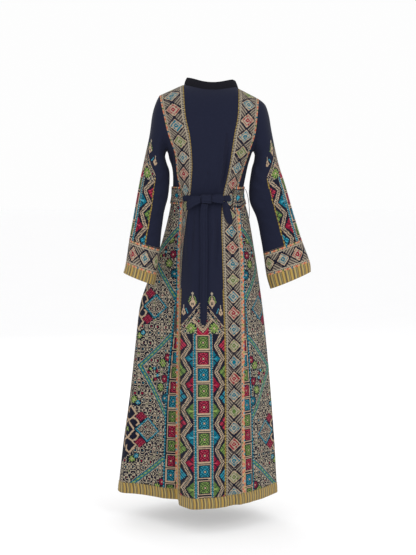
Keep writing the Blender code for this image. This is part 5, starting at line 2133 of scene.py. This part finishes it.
    def build(self) -> None:
        """Make the belt, the ties, the knot, the loops and the tails."""
        self.belt()
        for name, pleats, phase in (("tie_left", 9, 0.4), ("tie_right", 9, 1.1), ("sash_knot", 7, 0.2)):
            self.bundle(name, BUNDLES[name], pleats, phase)
        for name, pleats, depth in (
            ("tail_long", 2.2, 0.0011), ("tail_short", 1.6, 0.0009),
            ("bow_loop_left", 1.8, 0.0011), ("bow_loop_right", 1.8, 0.0010),
        ):
            self.tail(name, TAILS[name], pleats, depth)
        self.tape()


@dataclass
class Stitching:
    """Rows of sewing stitches along the hem binding, the cuffs and their bindings."""

    thread: bpy.types.Material
    pitch: float = 0.0046
    length: float = 0.0030
    radius: float = 0.00042
    hem_rows: tuple[tuple[float, float], ...] = (
        (HEM_SEAM - 0.0022, 0.0006), (HEM_SEAM + 0.0032, 0.0026), (HEM_END - 0.0040, 0.0026),
    )
    cuff_rows: tuple[tuple[float, float], ...] = (
        (CUFF_RING - 0.05, CUFF_RING + 0.05), (BINDING_RING - 0.05, BINDING_RING + 0.08),
    )
    cuff_step: float = 0.004
    cuff_lift: float = 0.0005

    def tree(self) -> bpy.types.GeometryNodeTree:
        """The node group that lays small stitches along lines.

        Returns:
            The node group, with its sizes as named inputs.
        """
        group = bpy.data.node_groups.new("stitch_row", "GeometryNodeTree")
        group.interface.new_socket("Geometry", in_out="INPUT", socket_type="NodeSocketGeometry")
        for name in ("Pitch", "Length", "Radius"):
            group.interface.new_socket(name, in_out="INPUT", socket_type="NodeSocketFloat")
        group.interface.new_socket("Seed", in_out="INPUT", socket_type="NodeSocketInt")
        group.interface.new_socket("Geometry", in_out="OUTPUT", socket_type="NodeSocketGeometry")
        node = partial(add_node, group)
        given = group.nodes.new("NodeGroupInput").outputs
        line = node("GeometryNodeMeshToCurve", {}, {"Mesh": given["Geometry"]})
        dotted = node("GeometryNodeResampleCurve", {"mode": "LENGTH"},
                      {"Curve": line.outputs[0], "Length": given["Pitch"]})
        bead = node("GeometryNodeMeshUVSphere", {}, {"Segments": 6, "Rings": 4, "Radius": 1.0})
        half = node("ShaderNodeMath", {"operation": "MULTIPLY"}, {0: given["Length"], 1: 0.5})
        size = node("ShaderNodeCombineXYZ", {},
                    {"X": given["Radius"], "Y": given["Radius"], "Z": half.outputs[0]})
        vary = node("FunctionNodeRandomValue", {"data_type": "FLOAT"}, {"Seed": given["Seed"]})
        vary.inputs[2].default_value = 0.85
        vary.inputs[3].default_value = 1.12
        sized = node("ShaderNodeVectorMath", {"operation": "SCALE"},
                     {0: size.outputs[0], "Scale": vary.outputs[1]})
        tangent = node("GeometryNodeInputTangent", {}, {})
        aimed = node("FunctionNodeAlignRotationToVector", {"axis": "Z"}, {"Vector": tangent.outputs[0]})
        laid = node("GeometryNodeInstanceOnPoints", {}, {
            "Points": dotted.outputs[0], "Instance": bead.outputs[0],
            "Rotation": aimed.outputs[0], "Scale": sized.outputs[0],
        })
        real = node("GeometryNodeRealizeInstances", {}, {"Geometry": laid.outputs[0]})
        dyed = node("GeometryNodeSetMaterial", {}, {"Geometry": real.outputs[0], "Material": self.thread})
        out = group.nodes.new("NodeGroupOutput")
        group.links.new(dyed.outputs[0], out.inputs[0])
        return group

    def lines(self) -> list[np.ndarray]:
        """The paths of the stitches, each of which closes.

        Returns:
            A row of points for each path.
        """
        found = []
        c = np.linspace(-6.0, 6.0, 721)[:-1]
        for drop, lift in self.hem_rows:
            d = np.full(c.shape, drop)
            found.append(FORM.dressed(c, d) + FORM.normal(c, d) * lift)
        for side in ("left", "right"):
            sleeve = Sleeve(side, self.thread, self.thread)
            for first, last in self.cuff_rows:
                rows = sleeve.grid(first, last, self.cuff_step, sleeve.cuff_cells)
                normals = sleeve.outside(rows)
                for k in (0, -1):
                    found.append(rows[k] + normals[k] * self.cuff_lift)
        return found

    def build(self) -> None:
        """Lay the stitches and turn them into one plain mesh."""
        points, edges = [], []
        for path in self.lines():
            start = len(points)
            points.extend(map(tuple, path))
            edges.extend((start + k, start + (k + 1) % len(path)) for k in range(len(path)))
        mesh = bpy.data.meshes.new("edge_stitching_lines")
        mesh.from_pydata(points, edges, [])
        lines = add_object("edge_stitching_lines", mesh)
        modifier = lines.modifiers.new("stitches", "NODES")
        modifier.node_group = self.tree()
        sizes = {"Pitch": self.pitch, "Length": self.length, "Radius": self.radius, "Seed": 5}
        for item in modifier.node_group.interface.items_tree:
            if item.in_out == "INPUT" and item.name in sizes:
                modifier[item.identifier] = sizes[item.name]
        graph = bpy.context.evaluated_depsgraph_get()
        plain = bpy.data.meshes.new_from_object(lines.evaluated_get(graph))
        lines.modifiers.remove(modifier)
        bpy.data.objects.remove(lines)
        made = add_object("edge_stitching", plain)
        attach(made, "root")
        log.info("edge_stitching: %d faces", len(plain.polygons))


@dataclass(frozen=True)
class Studio:
    """The floor, the soft lights and the camera."""

    floor_z: float = -1.50
    reach: float = 30.0
    floor_colour: tuple[float, float, float] = (0.60, 0.60, 0.605)
    floor_glow: float = 0.37
    sky: float = 0.985
    middle: tuple[float, float, float] = (0, 0, -0.7)
    camera_x: float = 0.0035
    camera_z: float = -0.25
    camera_rise: float = 0.411
    far: float = 200.0
    distance: float = 5.0
    lens: float = 125.9

    def floor(self) -> None:
        """A plain pale floor."""
        mesh = bpy.data.meshes.new("floor")
        signs = ((-1, -1), (1, -1), (1, 1), (-1, 1))
        corners = [(x * self.reach, y * self.reach, self.floor_z) for x, y in signs]
        mesh.from_pydata(corners, [], [(0, 1, 2, 3)])
        paint = Paint("pale_floor", 0.9)
        grain = 0.99 + 0.02 * paint.noise(3.0)
        base = paint.plain(self.floor_colour)
        paint.shader.inputs["Emission Color"].default_value = (1.0, 1.0, 1.0, 1.0)
        paint.shader.inputs["Emission Strength"].default_value = self.floor_glow
        mesh.materials.append(paint.finish(paint.tint(base, grain), grain, 0.0002))
        add_object("floor", mesh)

    @staticmethod
    def light(name: str, place: tuple, aim: tuple, size: float, power: float) -> None:
        """A square soft light.

        Args:
            name: its name.
            place: where it stands.
            aim: what it points at.
            size: its side in metres.
            power: its strength in watts.
        """
        data = bpy.data.lights.new(name, "AREA")
        data.size = size
        data.energy = power
        made = add_object(name, data)
        made.location = place
        made.rotation_euler = aimed_rotation(np.array(place) - np.array(aim))

    def build(self) -> None:
        """Set the world, the lights, the floor and the camera."""
        scene = bpy.context.scene
        scene.view_settings.view_transform = "Standard"
        world = bpy.data.worlds.new("studio")
        world.use_nodes = True
        world.node_tree.nodes["Background"].inputs["Color"].default_value = (1.0, 1.0, 1.0, 1.0)
        world.node_tree.nodes["Background"].inputs["Strength"].default_value = self.sky
        scene.world = world
        self.floor()
        self.light("key", (-2.2, 3.6, 1.6), self.middle, 1.8, 52.0)
        self.light("fill", (2.8, 3.0, 0.4), self.middle, 2.2, 14.0)
        self.light("front", (1.2, -3.6, 1.4), self.middle, 2.2, 45.0)
        data = bpy.data.cameras.new("camera")
        data.sensor_fit = "HORIZONTAL"
        data.sensor_width = 36.0
        data.lens = self.lens
        camera = add_object("camera", data)
        camera.location = (self.camera_x, self.distance, self.camera_z)
        camera.rotation_euler = aimed_rotation(np.array([0.0, self.distance, self.camera_rise]))
        data.clip_end = self.far
        scene.camera = camera


def aimed_rotation(away: np.ndarray) -> tuple[float, float, float]:
    """The turn that makes a camera or light look against a direction."""
    flat = math.hypot(away[0], away[1])
    return math.atan2(flat, away[2]), 0.0, math.atan2(away[0], -away[1])


def main() -> None:
    """Load the frame, dress it and set the studio."""
    logging.basicConfig(level=logging.INFO, format="%(message)s")
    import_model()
    cloth = StitchedCloth().make()
    binding = StripedBinding().make()
    sash = PlainCloth("sash_crepe", (28, 31, 48)).make()
    # The collar's near-black colour is painted shadow on navy cloth
    collar_painted_shadow = PlainCloth("collar_cloth", (22, 22, 28), 0.9).make()
    thread = PlainCloth("sewing_thread", (168, 148, 104), 0.6).make()
    Body(cloth, binding).build()
    for side in SLEEVES:
        Sleeve(side, cloth, binding).build()
    Collar(collar_painted_shadow).build()
    Sash(cloth, sash).build()
    Stitching(thread).build()
    Studio().build()


if __name__ == "__main__":
    main()
